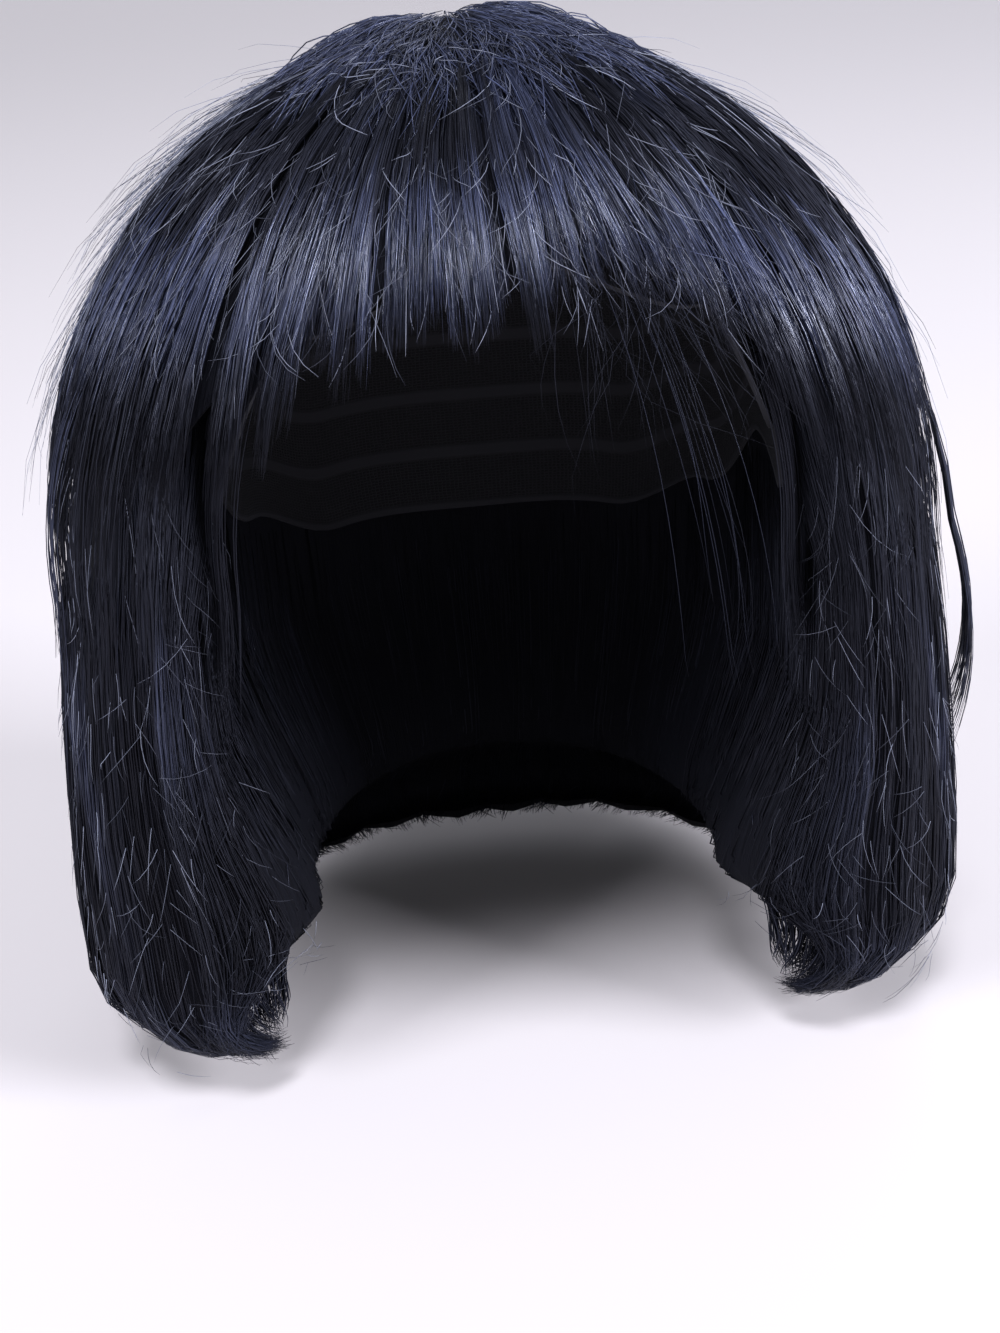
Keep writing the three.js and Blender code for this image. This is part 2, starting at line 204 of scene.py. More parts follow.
@dataclass(frozen=True)
class HairForm:
    """The outer and inner shape of all the hair, and where its layers lie in it."""

    head: HeadForm = HeadForm()
    cap_thickness: float = 1.6
    seat_gap: float = 0.65
    crown_rise: float = 19.0
    dome_drop: float = 110.0
    dome_side: float = 117.0
    dome_front: float = 113.0
    dome_back: float = 118.0
    skirt_drop: float = 217.0
    skirt_side: float = 126.5
    skirt_front: float = 117.0
    skirt_back: float = 122.5
    squareness: float = 2.15
    curl_radius: float = 34.0
    curl_turn: float = 108.0
    crown_reach: float = 46.0
    upper_thickness: float = 7.0
    lock_relief: float = 4.0
    tip_thickness: float = 2.0
    tip_run: float = 0.12
    upper_root: float = 0.4
    upper_thin: float = 0.6
    long_root: float = 0.5
    layer_clearance: float = 0.9
    fringe_half_angle: float = 48.0
    side_front: float = 60.0
    side_back: float = 112.0
    face_blend: float = 4.0
    last_station: float = 2.95
    past_tips: float = 1.1
    rim: DropTable = DropTable(
        (0, 40, 62, 76, 96, 122, 150, 180),
        (0.19, 0.31, 0.58, 0.74, 0.68, 0.86, 0.98, 1.0),
        138.0,
    )
    upper_end: DropTable = DropTable(
        (0, 21, 34, 48, 66, 90, 120, 180),
        (0.34, 0.37, 0.56, 0.62, 0.68, 0.8, 0.93, 1.0),
        122.0,
    )

    def outer(self, azimuth: Array, station: Array) -> tuple[Array, Array]:
        """Give reach and height of the hair's outside.

        The dome is a quarter ellipse, the skirt flares by a quarter sine, and the curl is an arc.

        Args:
            azimuth: Degrees round the head.
            station: Stations down the hair.

        Returns:
            The reach from the upright axis and the height.
        """
        dome = plan_reach(
            azimuth, self.dome_side, self.dome_front, self.dome_back, self.squareness
        )
        skirt = plan_reach(
            azimuth, self.skirt_side, self.skirt_front, self.skirt_back, self.squareness
        )
        angle = np.clip(station, 0.0, 1.0) * QUARTER_TURN
        share = np.clip(station - 1.0, 0.0, 1.0)
        turn = np.clip(station - 2.0, 0.0, self.past_tips) * np.radians(self.curl_turn)
        flare = mix(dome, skirt, np.sin(share * QUARTER_TURN))
        reach = np.where(station <= 1.0, dome * np.sin(angle), flare)
        z = self.crown_rise - (self.crown_rise + self.dome_drop) * (1.0 - np.cos(angle))
        z = z - (self.skirt_drop - self.dome_drop) * share
        return reach - self.curl_radius * (1.0 - np.cos(turn)), z - self.curl_radius * np.sin(turn)

    def inner(self, azimuth: Array, station: Array) -> tuple[Array, Array]:
        """Give reach and height of the hair's inside.

        It lies on the cap, hangs straight from the cap's rim, draws in round the neck below the jaw
        and closes on the tips.

        Args:
            azimuth: Degrees round the head.
            station: Stations down the hair.

        Returns:
            The reach from the upright axis and the height.
        """
        offset = self.cap_thickness + self.seat_gap
        on_head = self.head.point(azimuth, np.clip(station, 0.0, 1.0) * QUARTER_TURN, offset)
        rim = -self.rim.at(azimuth)
        z = mix(-self.head.widest_drop, -self.skirt_drop, np.clip(station - 1.0, 0.0, 1.0))
        angle = np.maximum(QUARTER_TURN, self.head.angle_at(np.maximum(z, rim), offset))
        hung = self.head.point(azimuth, angle, offset)[0]
        low = np.maximum(self.head.jaw_drop, self.head.rim_run - rim)
        hung = mix(hung, self.head.neck_reach(azimuth), ease(-z, low, self.skirt_drop))
        tip_reach, tip_z = self.outer(azimuth, 3.0)
        share = np.clip(station - 2.0, 0.0, self.past_tips)
        hung = mix(hung, tip_reach, share)
        z = mix(z, tip_z + self.curl_radius / 3.0, share)
        return np.where(station <= 1.0, on_head[0], hung), np.where(station <= 1.0, on_head[1], z)

    def thickness(self, azimuth: Array, station: Array) -> Array:
        """Give the distance from the outside to the inside at one station."""
        outer, inner = self.outer(azimuth, station), self.inner(azimuth, station)
        return np.hypot(outer[0] - inner[0], outer[1] - inner[1])

    def point(self, azimuth: Array, station: Array, depth: Array) -> Array:
        """Place points in the hair.

        Args:
            azimuth: Degrees round the head.
            station: Stations down the hair.
            depth: Millimetres below the outside, less than 0 above it.

        Returns:
            The points, with their coordinates on the last axis.
        """
        outer, inner = self.outer(azimuth, station), self.inner(azimuth, station)
        share = depth / np.maximum(self.thickness(azimuth, station), 1.0)
        reach, z = (mix(out, into, share) for out, into in zip(outer, inner))
        return around(reach, azimuth, z)

    def station_at(self, z: Array) -> Array:
        """Give the station at which the outside is at a height: the dome's formula turned round.

        Args:
            z: The height.

        Returns:
            The station, down to 2.
        """
        drop = np.clip((self.crown_rise - z) / (self.crown_rise + self.dome_drop), 0.0, 1.0)
        below = (-self.dome_drop - z) / (self.skirt_drop - self.dome_drop)
        return np.where(z >= -self.dome_drop, np.arccos(1.0 - drop) / QUARTER_TURN, 1.0 + below)

    def crown_station(self) -> float:
        """Give the station where the crown tuft ends."""
        return float(np.arcsin(self.crown_reach / self.dome_side) / QUARTER_TURN)

    def upper_end_station(self, azimuth: Array) -> Array:
        """Give the station where the upper layer ends."""
        return self.station_at(-self.upper_end.at(azimuth))

    def hair_end(self, azimuth: Array) -> Array:
        """Give the station of the last hair: the fringe's ends over the face, else the tips."""
        long = ease(from_front(azimuth), self.side_front - self.face_blend, self.side_front)
        return mix(self.upper_end_station(azimuth), self.last_station, long)

    def upper_depth(self, azimuth: Array, station: Array) -> Array:
        """Give the upper layer's depth: down to the cap at its roots, and thin at its tips.

        Args:
            azimuth: Degrees round the head.
            station: Stations down the hair.

        Returns:
            The depth of its underside.
        """
        full = self.thickness(azimuth, station)
        end = self.upper_end_station(azimuth)
        thin = ramp(station, self.upper_root, self.upper_thin)
        laid = mix(full, np.minimum(full, self.upper_thickness), thin)
        return mix(laid, self.tip_thickness, ramp(station, end - self.tip_run, end))


@dataclass
class MeshData:
    """Vertices in millimetres, the corners of each face, and attributes with a value a vertex."""

    vertices: Array
    faces: list[Array]
    attributes: dict[str, Array] = field(default_factory=dict)
    uv: Array | None = None

    def build(self, name: str, smooth_angle: float | None = None) -> bpy.types.Object:
        """Put the arrays into a mesh object at the origin.

        Args:
            name: The object's name.
            smooth_angle: Degrees past which an edge stays sharp, or None for smooth all over.

        Returns:
            The object, linked to the scene.
        """
        corners = np.concatenate([face.ravel() for face in self.faces]).astype(np.int32)
        sizes = np.concatenate([np.full(len(face), face.shape[1]) for face in self.faces])
        mesh = bpy.data.meshes.new(name)
        mesh.vertices.add(len(self.vertices))
        mesh.vertices.foreach_set("co", (self.vertices * METRES).astype(np.float32).ravel())
        mesh.loops.add(len(corners))
        mesh.loops.foreach_set("vertex_index", corners)
        mesh.polygons.add(len(sizes))
        starts = np.concatenate([[0], np.cumsum(sizes)[:-1]])
        mesh.polygons.foreach_set("loop_start", starts.astype(np.int32))
        if self.uv is not None:
            layer = mesh.uv_layers.new(name="hair")
            layer.uv.foreach_set("vector", self.uv[corners].astype(np.float32).ravel())
        for key, values in self.attributes.items():
            attribute = mesh.attributes.new(key, "FLOAT", "POINT")
            attribute.data.foreach_set("value", values.astype(np.float32))
        mesh.update(calc_edges=True)
        mesh.validate()
        mesh.shade_smooth()
        if smooth_angle is not None:
            mesh.set_sharp_from_angle(angle=np.radians(smooth_angle))
        piece = bpy.data.objects.new(name, mesh)
        bpy.context.scene.collection.objects.link(piece)
        return piece


def grid_faces(rows: int, columns: int, first: int = 0, turned: bool = False) -> Array:
    """Give the four corners of each face of a grid.

    Args:
        rows: Faces down the grid.
        columns: Faces across it.
        first: Index of the grid's first vertex.
        turned: Whether the faces look the other way.

    Returns:
        An array of faces by four vertex indices.
    """
    down, across = np.meshgrid(np.arange(rows), np.arange(columns), indexing="ij")
    corner = first + down * (columns + 1) + across
    faces = np.stack(
        [corner, corner + columns + 1, corner + columns + 2, corner + 1], axis=-1
    ).reshape(-1, 4)
    return faces[:, ::-1] if turned else faces


def slab(outer: Array, inner: Array) -> tuple[Array, list[Array]]:
    """Close two grids of the same size into one slab, with a wall along each edge.

    Args:
        outer: Points of the outside, rows by columns by 3.
        inner: Points of the inside.

    Returns:
        The vertices and the faces.
    """
    rows, columns = outer.shape[0] - 1, outer.shape[1] - 1
    count = (rows + 1) * (columns + 1)
    index = np.arange(count).reshape(rows + 1, columns + 1)
    rim = np.concatenate(
        [index[0, :], index[1:, -1], index[-1, -2::-1], index[-2:0:-1, 0]]
    )
    after = np.roll(rim, -1)
    walls = np.stack([rim, after, after + count, rim + count], axis=-1)
    vertices = np.concatenate([outer.reshape(-1, 3), inner.reshape(-1, 3)])
    faces = [
        grid_faces(rows, columns),
        grid_faces(rows, columns, first=count, turned=True),
        walls,
    ]
    return vertices, faces


def dome(outer: Array, inner: Array, uv: Array) -> MeshData:
    """Close two grids of rings into one dome-shaped shell, with a wall round its rim.

    Args:
        outer: Points of the outside, rings by columns by 3, from the top down.
        inner: Points of the inside.
        uv: A place on the surface for each point of a grid.

    Returns:
        The shell.
    """
    rings, columns = outer.shape[:2]
    count = rings * columns
    here = np.arange(columns)
    after = (here + 1) % columns
    start = columns * np.arange(rings - 1)[:, None]
    outside = np.stack(
        [start + here, start + columns + here, start + columns + after, start + after], axis=-1
    ).reshape(-1, 4)
    last = count - columns
    wall = np.stack([here, count + here, count + after, after], axis=-1) + last
    top_fan = np.stack([0 * here + 2 * count, here, after], axis=-1)
    under_fan = np.stack([0 * here + 2 * count + 1, count + after, count + here], axis=-1)
    poles = np.array([[0.0, 0.0, points[0, :, 2].mean()] for points in (outer, inner)])
    vertices = np.concatenate([outer.reshape(-1, 3), inner.reshape(-1, 3), poles])
    places = uv.reshape(-1, 2)
    places = np.concatenate([places, places, np.zeros((2, 2))])
    faces = [outside, outside[:, ::-1] + count, wall, top_fan, under_fan]
    return MeshData(vertices, faces, uv=places)


@dataclass
class StrandSet:
    """Single strands: the path, radius and gloss of each along its length, and its tone. Gloss also
    paints a highlight into a strand's colour.
    """

    paths: Array
    radius: Array
    tone: Array
    gloss: Array

    def tubes(self) -> MeshData:
        """Carry a triangle along each path.

        The triangle's corners stand at thirds of a turn round the path, in the plane of the side
        vector s = t x r and of s x t, where t runs along the path and r points out of the hair.

        Returns:
            Closed tubes with the tone and the gloss at each vertex.
        """
        paths = self.paths
        strands, steps = paths.shape[:2]
        along = np.gradient(paths, axis=1)
        along /= np.linalg.norm(along, axis=-1, keepdims=True) + TINY
        side = np.cross(along, paths - MIDDLE)
        side /= np.linalg.norm(side, axis=-1, keepdims=True) + TINY
        lift = np.cross(side, along)
        turns = np.radians([90.0, 210.0, 330.0])
        ring = (
            side[:, :, None, :] * np.cos(turns)[None, None, :, None]
            + lift[:, :, None, :] * np.sin(turns)[None, None, :, None]
        )
        vertices = paths[:, :, None, :] + ring * self.radius[:, :, None, None]
        index = np.arange(strands * steps * 3).reshape(strands, steps, 3)
        here, there = index[:, :-1], index[:, 1:]
        near, far = np.roll(here, -1, axis=2), np.roll(there, -1, axis=2)
        walls = np.stack([here, near, far, there], axis=-1).reshape(-1, 4)
        caps = np.concatenate([index[:, 0, ::-1], index[:, -1, :]])
        gloss = np.broadcast_to(self.gloss[:, :, None], (strands, steps, 3))
        tone = np.broadcast_to(self.tone[:, None, None], (strands, steps, 3))
        return MeshData(
            vertices.reshape(-1, 3),
            [walls, caps],
            {"tone": tone.ravel(), "gloss": gloss.ravel()},
        )


def merged(parts: list[MeshData]) -> MeshData:
    """Put several meshes into one, their faces counted on from each other.

    Args:
        parts: The meshes, all with the same attributes.

    Returns:
        The one mesh.
    """
    first = np.cumsum([0] + [len(part.vertices) for part in parts[:-1]])
    faces = [face + start for part, start in zip(parts, first) for face in part.faces]
    keys = parts[0].attributes
    attributes = {key: np.concatenate([part.attributes[key] for part in parts]) for key in keys}
    return MeshData(np.concatenate([part.vertices for part in parts]), faces, attributes)


@dataclass(frozen=True)
class StrandStyle:
    """How thick a strand is, and how it thins towards its root and tip."""

    radius: float = 0.17
    root_share: float = 0.55
    tip_share: float = 0.22
    spread: float = 0.3
    full_from: float = 0.25
    full_to: float = 0.6

    def radii(self, strands: int, steps: int, rng: np.random.Generator) -> Array:
        """Give each strand's radius at each step: full in the middle, thinner at both ends.

        Args:
            strands: How many strands.
            steps: How many steps each has.
            rng: The source of differences.

        Returns:
            The radii, strands by steps.
        """
        share = np.linspace(0.0, 1.0, steps)[None, :]
        body = mix(self.root_share, 1.0, ease(share, 0.0, self.full_from))
        body = body * mix(1.0, self.tip_share, ease(share, self.full_to, 1.0))
        own = 1.0 + self.spread * rng.uniform(-1.0, 1.0, (strands, 1))
        return self.radius * body * own


@dataclass(frozen=True)
class LockRow:
    """Locks side by side between two azimuths: where each lies, hangs to and leans.

    Between locks the hair ends a notch higher. uneven is how far a lock lies off its place, and
    sway how far it leans, as shares of its width.
    """

    start: float
    stop: float
    azimuth: Array
    tip: Array
    lean: Array
    notch: float = 0.12
    uneven: float = 0.12
    sway: float = 0.25

    @classmethod
    def spread(cls, start: float, stop: float, count: int, seed: int, tip: TipRule) -> LockRow:
        """Space locks between two azimuths, each a little different from the next.

        Args:
            start: First azimuth.
            stop: Last azimuth.
            count: How many locks.
            seed: Which set of differences.
            tip: What says where each tip lies.

        Returns:
            The row.
        """
        index = np.arange(count)
        width = (stop - start) / count
        azimuth = start + width * (index + 0.5 + cls.uneven * scatter(index, seed + 2))
        lean = width * cls.sway * scatter(index, seed)
        return cls(start, stop, azimuth, tip.at(azimuth, scatter(index, seed + 1)), lean)

    def knots(self) -> tuple[Array, Array, Array, Array]:
        """Tell the row at each groove and crest in turn.

        A groove lies halfway between two locks. Its share is 1, it ends a notch above the shorter
        of them, and its lean is halfway between theirs. A crest's share is 0.

        Returns:
            The azimuth, the groove share, the end station and the lean.
        """
        locks = np.stack([self.azimuth, self.tip, self.lean])
        before = np.concatenate([locks[:, :1], locks], axis=1)
        after = np.concatenate([locks, locks[:, -1:]], axis=1)
        groove, _, lean = (before + after) / 2
        groove[0], groove[-1] = self.start, self.stop
        end = np.minimum(before[1], after[1]) - self.notch
        table = np.zeros((4, 2 * len(self.azimuth) + 1))
        table[:, 0::2] = groove, 1.0 + 0 * groove, end, lean
        table[:, 1::2] = self.azimuth, 0.0 * self.azimuth, self.tip, self.lean
        return tuple(table)

    def read(self, azimuth: Array) -> tuple[Array, Array, Array]:
        """Give groove share, end station and lean at any azimuth."""
        knots = self.knots()
        return tuple(np.interp(azimuth, knots[0], values) for values in knots[1:])

    def columns(self, each: int) -> Array:
        """Give azimuths of columns.

        Args:
            each: How many there are from each crest to each groove.

        Returns:
            The azimuths, with one at each groove and crest.
        """
        knots = self.knots()[0]
        shares = np.arange(each) / each
        inside = knots[:-1, None] + np.diff(knots)[:, None] * shares[None, :]
        return np.append(inside.ravel(), knots[-1])


class TipLine(Enum):
    """Which line a row's tips follow."""

    UPPER = "upper"
    LONG = "long"


@dataclass(frozen=True)
class TipRule:
    """Where a lock's tip lies, from the line that it follows and its own difference."""

    form: HairForm
    line: TipLine
    upper_difference: float = 0.03
    long_station: float = 2.89
    long_difference: float = 0.06

    def at(self, azimuth: Array, extra: Array) -> Array:
        """Give the tip's station: on the line, less or more than it by the lock's difference.

        Args:
            azimuth: Degrees round the head.
            extra: The lock's own difference, from -1 to 1.

        Returns:
            The station.
        """
        if self.line is TipLine.UPPER:
            return self.form.upper_end_station(azimuth) - self.upper_difference * (1.0 + extra)
        return self.long_station + self.long_difference * extra


@dataclass(frozen=True)
class Variety:
    """How unlike wisps are each other, and strands their wisp.

    place and lean are shares of a wisp's width, rise and depth millimetres, tip, shift, own_shift
    and overrun stations, and gather and glint factors. Two values are the ends of an even spread,
    and one is the width of a bell.
    """

    place: float = 0.3
    rise: tuple[float, float] = (-0.7, 0.9)
    lean: float = 0.3
    tip: float = 0.02
    gather: tuple[float, float] = (0.6, 1.2)
    shift: float = 0.03
    own_shift: float = 0.02
    overrun: tuple[float, float] = (-1.4, 1.0)
    depth: tuple[float, float] = (-0.5, 1.0)
    glint: tuple[float, float] = (0.45, 1.3)


@dataclass(frozen=True)
class StrandRun:
    """One lot of strands of a layer.

    depth says how deep they lie, as shares from the layer's outside to its underside. root and tip
    are ranges of stations; without them a strand starts at the layer's root and ends at its lock's
    tip. gather is how far a wisp closes at its tip, fill how far strands fill the notches between
    locks, stray how many degrees a strand wanders, wander how many millimetres its depth does,
    tousle how unlike each other the wisps are, and hang how far the ends drop below their layer.
    Stacked wisps lie over each other in depth, where the others lie side by side. closing is how
    far strands cross from their own depth to the outside at their ends.
    """

    count: int
    steps: int
    azimuths: tuple[float, float] | None = None
    root: tuple[float, float] | None = None
    tip: tuple[float, float] | None = None
    depth: tuple[float, float] = (0.0, 0.0)
    wisps_a_lock: int = 4
    gather: float = 0.6
    stray: float = 0.8
    lift: float = 1.2
    overrun: float = 0.03
    fill: float = 0.5
    wander: float = 0.3
    tousle: float = 1.0
    hang: float = 0.0
    stacked: bool = False
    closing: float = 0.0
    style: StrandStyle = StrandStyle()
    variety: Variety = Variety()

    @classmethod
    def turned_ends(cls, count: int) -> StrandRun:
        """Give short strands that fill the turned-in ends from their outside to their underside."""
        return cls(count, 5, root=(2.3, 2.55), depth=(0.1, 0.95), gather=0.2, stray=3.0,
                   overrun=0.05, fill=0.9, wander=1.0, style=StrandStyle(radius=0.2))


@dataclass(frozen=True)
class Wisps:
    """The wisps of one lot of strands, side by side and each with differences of its own."""

    width: float
    middle: Array
    rise: Array
    lean: Array
    tip: Array
    gather: Array
    shift: Array

    @classmethod
    def drawn(
        cls, run: StrandRun, low: float, high: float, locks: int, rng: np.random.Generator
    ) -> Wisps:
        """Draw the wisps of a lot.

        Args:
            run: The lot.
            low: The azimuth where they start.
            high: The azimuth where they stop.
            locks: How many locks the layer has.
            rng: The source of differences.

        Returns:
            The wisps.
        """
        vary, count = run.variety, max(2, round(locks * run.wisps_a_lock))
        width = (high - low) / count
        return cls(
            width,
            low + width * (np.arange(count) + 0.5 + vary.place * rng.uniform(-1, 1, count)),
            run.tousle * rng.uniform(*vary.rise, count),
            run.tousle * rng.normal(0.0, vary.lean * width, count),
            rng.normal(0.0, vary.tip, count),
            run.gather * rng.uniform(*vary.gather, count),
            rng.normal(0.0, vary.shift, count),
        )


def dressed(
    name: str, body: MeshData, strands: MeshData, hair: HairFinish
) -> list[bpy.types.Object]:
    """Make a body of hair and its strands, in place of the solid that has their name.

    Args:
        name: The solid's name.
        body: The closed body.
        strands: The strands on it.
        hair: The hair's finish.

    Returns:
        The two pieces.
    """
    pieces = [
        body.build(f"{name}_body", smooth_angle=60.0),
        strands.build(f"{name}_strands"),
    ]
    for piece, material in zip(pieces, (hair.mass(), hair.strand())):
        piece.data.materials.append(material)
    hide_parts(name)
    return pieces


@dataclass
class HairLayer:
    """One layer of hair between two azimuths. Its subclasses say how deep it lies.

    skin is how thickly the strands lie on the body, even how far the body fills the notches between
    its locks, and short how many stations it stops short of the strands' ends. The body stays inset
    within the layer's two azimuths and at least so thick, and strands spill over them.
    """

    name: str
    form: HairForm
    row: LockRow
    root: float
    runs: tuple[StrandRun, ...]
    seed: int
    rows: int = 20
    columns_a_half: int = 4
    skin: float = 1.1
    even: float = 0.5
    short: float = 0.05
    inset: float = 0.1
    spill: float = 2.2
    least: float = 0.6

    def crest(self, azimuth: Array, station: Array) -> Array:
        """Give the depth of the locks' crests."""
        return 0.0 * station

    def relief(self, azimuth: Array, station: Array) -> Array:
        """Give how far the grooves lie below the crests."""
        return self.form.lock_relief + 0.0 * station

    def under(self, azimuth: Array, station: Array) -> Array:
        """Give the depth of the underside."""
        raise NotImplementedError

    def gloss(self, azimuth: Array, station: Array, shift: Array) -> Array:
        """Give how glossy a strand is, which also sets how much of a painted highlight its colour
        takes. Each kind of layer has a formula of its own.

        Args:
            azimuth: Degrees round the head.
            station: Stations down the hair.
            shift: How much later each strand turns glossy.

        Returns:
            The gloss from 0 to 1.
        """
        raise NotImplementedError

    def body(self) -> MeshData:
        """Work out the closed body under the strands.

        Its outside lies a skin's thickness below crest + relief share^2, its edge runs out to each
        lock's tip and back to a notch, and it thins to nothing there.

        Returns:
            The body, with azimuth and station as its UV map.
        """
        columns = self.row.columns(self.columns_a_half)
        share, end, lean = (values[None, :] for values in self.row.read(columns))
        down = np.linspace(0.0, 1.0, self.rows + 1)[:, None]
        line = np.interp(columns, self.row.azimuth, self.row.tip)[None, :]
        station = mix(self.root, mix(end, line, self.even) - self.short, down)
        azimuth = columns[None, :] + lean * ease(down, 0.4, 1.0)
        azimuth = np.clip(azimuth, self.row.start + self.inset, self.row.stop - self.inset)
        top = self.crest(azimuth, station) + self.relief(azimuth, station) * share**2 + self.skin
        top = top + 0.5 * ease(down, 0.85, 1.0)
        bottom = np.maximum(self.under(azimuth, station), top + self.least)
        bottom = mix(bottom, top + self.least, ease(down, 0.9, 1.0) * (end < 2.0))
        outer = self.form.point(azimuth, station, top)
        inner = self.form.point(azimuth, station, bottom)
        vertices, faces = slab(outer, inner)
        uv = np.stack([azimuth + 0 * station, station + 0 * azimuth], axis=-1).reshape(-1, 2)
        return MeshData(vertices, faces, uv=np.concatenate([uv, uv]))

    def lay(self, run: StrandRun, rng: np.random.Generator) -> StrandSet:
        """Lay one lot of strands along the locks.

        Strands come in wisps. A strand starts at its wisp's middle plus its own share of the
        wisp's width, bends with the lock's lean, and closes on the middle towards the tip, with a
        slow sideways wave. Its depth follows the layer, its wisp and a small part of its own.

        Args:
            run: The lot.
            rng: The source of differences.

        Returns:
            The strands.
        """
        vary, count, row = run.variety, run.count, self.row
        low, high = run.azimuths or (row.start, row.stop)
        wisps = Wisps.drawn(run, low, high, len(row.azimuth), rng)
        middle, total = wisps.middle, len(wisps.middle)
        pick = rng.integers(0, total, count)
        place = rng.uniform(0.0, 1.0, count)
        if run.stacked:
            middle = rng.permutation(middle)
            place = (pick + place) / total
        across = np.clip(rng.normal(0.0, 0.5, count), -1.2, 1.2)
        centre = column(middle[pick])
        start = centre + column(across) * wisps.width * 0.8
        share, end, lean = row.read(centre)
        end = mix(end, np.interp(centre, row.azimuth, row.tip), run.fill)
        root = self.root if run.root is None else column(rng.uniform(*run.root, count))
        if run.tip is not None:
            end = column(rng.uniform(*run.tip, count))
        overrun = run.overrun * column(rng.uniform(*vary.overrun, count))
        end = end + column(wisps.tip[pick]) + overrun
        down = np.linspace(0.0, 1.0, run.steps)[None, :] ** 0.8
        station, bending = mix(root, end, down), ease(down, 0.35, 1.0)
        bend = (lean + column(wisps.lean[pick])) * bending
        close = (centre - start) * column(wisps.gather[pick]) * bending
        phase = column(rng.uniform(0.0, 2 * np.pi, count))
        beat = column(rng.uniform(0.4, 1.3, count)) * 2 * np.pi
        sway = run.stray * column(rng.normal(0.0, 0.6, count))
        azimuth = start + bend + close + sway * np.sin(beat * down + phase) * down
        azimuth = np.clip(azimuth, row.start - self.spill, row.stop + self.spill)
        top = self.crest(azimuth, station) + self.relief(azimuth, station) * share**2
        bottom = np.maximum(self.under(azimuth, station), top + self.least)
        deep = column(mix(*run.depth, place)) * (1.0 - run.closing * ease(down, 0.7, 1.0))
        own = column(rng.uniform(*vary.depth, count)) + 0.9 * column(across) ** 2
        inward = np.where(deep > 0.5, -1.0, 1.0)
        rise = column(wisps.rise[pick]) * ease(down, 0.15, 0.7)
        lift = 1.3 * run.lift * column(rng.uniform(0.0, 1.0, count) ** 2) * ease(down, 0.5, 1.0)
        roll = run.wander * column(np.clip(rng.normal(0.0, 1.0, count), -1.5, 1.5))
        roll = roll * np.cos(1.3 * beat * down + phase)
        depth = mix(top, bottom, deep) + inward * (own - rise - lift) + roll
        paths = self.form.point(azimuth, station, depth)
        drop = 2.0 * run.hang * column(rng.uniform(0.0, 1.0, count) ** 2)
        paths[:, :, 2] -= drop * ease(down, 0.55, 1.0)
        tone = mix(rng.uniform(0, 1, total)[pick], rng.uniform(0, 1, count), 0.5)
        shift = column(wisps.shift[pick] + rng.normal(0.0, vary.own_shift, count))
        # Deeper strands are less glossy and take less of the painted highlight.
        gloss = self.gloss(azimuth, station, shift) * (1.0 - 0.75 * np.sqrt(deep))
        # Each step's gloss, and so its painted highlight, is scattered into short glints.
        gloss = gloss * rng.uniform(*vary.glint, gloss.shape)
        return StrandSet(paths, run.style.radii(count, run.steps, rng), tone, gloss)

    def build(self, hair: HairFinish) -> list[bpy.types.Object]:
        """Make the body and the strands, which stand for the solid of the same name.

        Args:
            hair: The hair's finish.

        Returns:
            The pieces.
        """
        rng = np.random.default_rng(self.seed)
        strands = merged([self.lay(run, rng).tubes() for run in self.runs])
        return dressed(self.name, self.body(), strands, hair)


@dataclass(frozen=True)
class PaintedSheen:
    """Where a highlight is painted into the upper layer's colour, which is glossier there too: a
    band round the head, and tufts over the crown.

    Places are stations, and widths and azimuths degrees. The band's middle lies lower by
    fall (angle / fall_angle)^2 towards the sides, more on the wearer's left and less on the right
    by tilt, and is higher by rise round one azimuth.
    """

    base: float = 0.02
    middle: float = 0.5
    fall: float = 0.115
    fall_angle: float = 60.0
    tilt: float = 0.04
    rise: float = 0.05
    rise_azimuth: float = 12.0
    rise_width: float = 14.0
    above: float = 0.08
    below: float = 0.05
    rise_run: float = 0.05
    fade_run: float = 0.07
    ripple: float = 0.02
    ripples: float = 17.0
    crown: float = 0.8
    crown_azimuth: float = 8.0
    crown_width: float = 28.0
    crown_tufts: float = 9.0
    crown_stations: tuple[float, float] = (0.26, 0.42)


@dataclass
class UpperLayer(HairLayer):
    """The short upper layer: the fringe, the temples and the back of the head."""

    # Where a highlight is painted on its strands.
    painted_sheen: PaintedSheen = PaintedSheen()

    def under(self, azimuth: Array, station: Array) -> Array:
        """Give the depth of the underside."""
        return self.form.upper_depth(azimuth, station)

    def gloss(self, azimuth: Array, station: Array, shift: Array) -> Array:
        """Give how glossy a strand is, and so where a highlight is painted: the band, half as
        bright behind the ears, and the crown.

        Args:
            azimuth: Degrees round the head.
            station: Stations down the hair.
            shift: How much later each strand turns glossy.

        Returns:
            The gloss from 0 to 1.
        """
        painted_sheen, turn, round_head = self.painted_sheen, from_front(azimuth), np.radians(azimuth)
        fall = painted_sheen.fall + painted_sheen.tilt * np.sin(round_head)
        rise = painted_sheen.rise * np.exp(-(((azimuth - painted_sheen.rise_azimuth) / painted_sheen.rise_width) ** 2))
        middle = painted_sheen.middle + fall * np.minimum(turn / painted_sheen.fall_angle, 1.2) ** 2 - rise
        start = middle - painted_sheen.above + shift + painted_sheen.ripple * np.sin(round_head * painted_sheen.ripples)
        stop = middle + painted_sheen.below + 0.6 * shift
        band = ease(station, start, start + painted_sheen.rise_run)
        band = band * (1.0 - ease(station, stop, stop + painted_sheen.fade_run))
        front = np.exp(-(((azimuth - painted_sheen.crown_azimuth) / painted_sheen.crown_width) ** 2))
        tufts = ease(np.sin(round_head * painted_sheen.crown_tufts) + 8.0 * shift, -0.4, 1.0)
        crown = painted_sheen.crown * front * tufts * (1.0 - ease(station, *painted_sheen.crown_stations))
        return painted_sheen.base + crown + band * mix(1.0, 0.5, ease(turn, 75.0, 120.0))


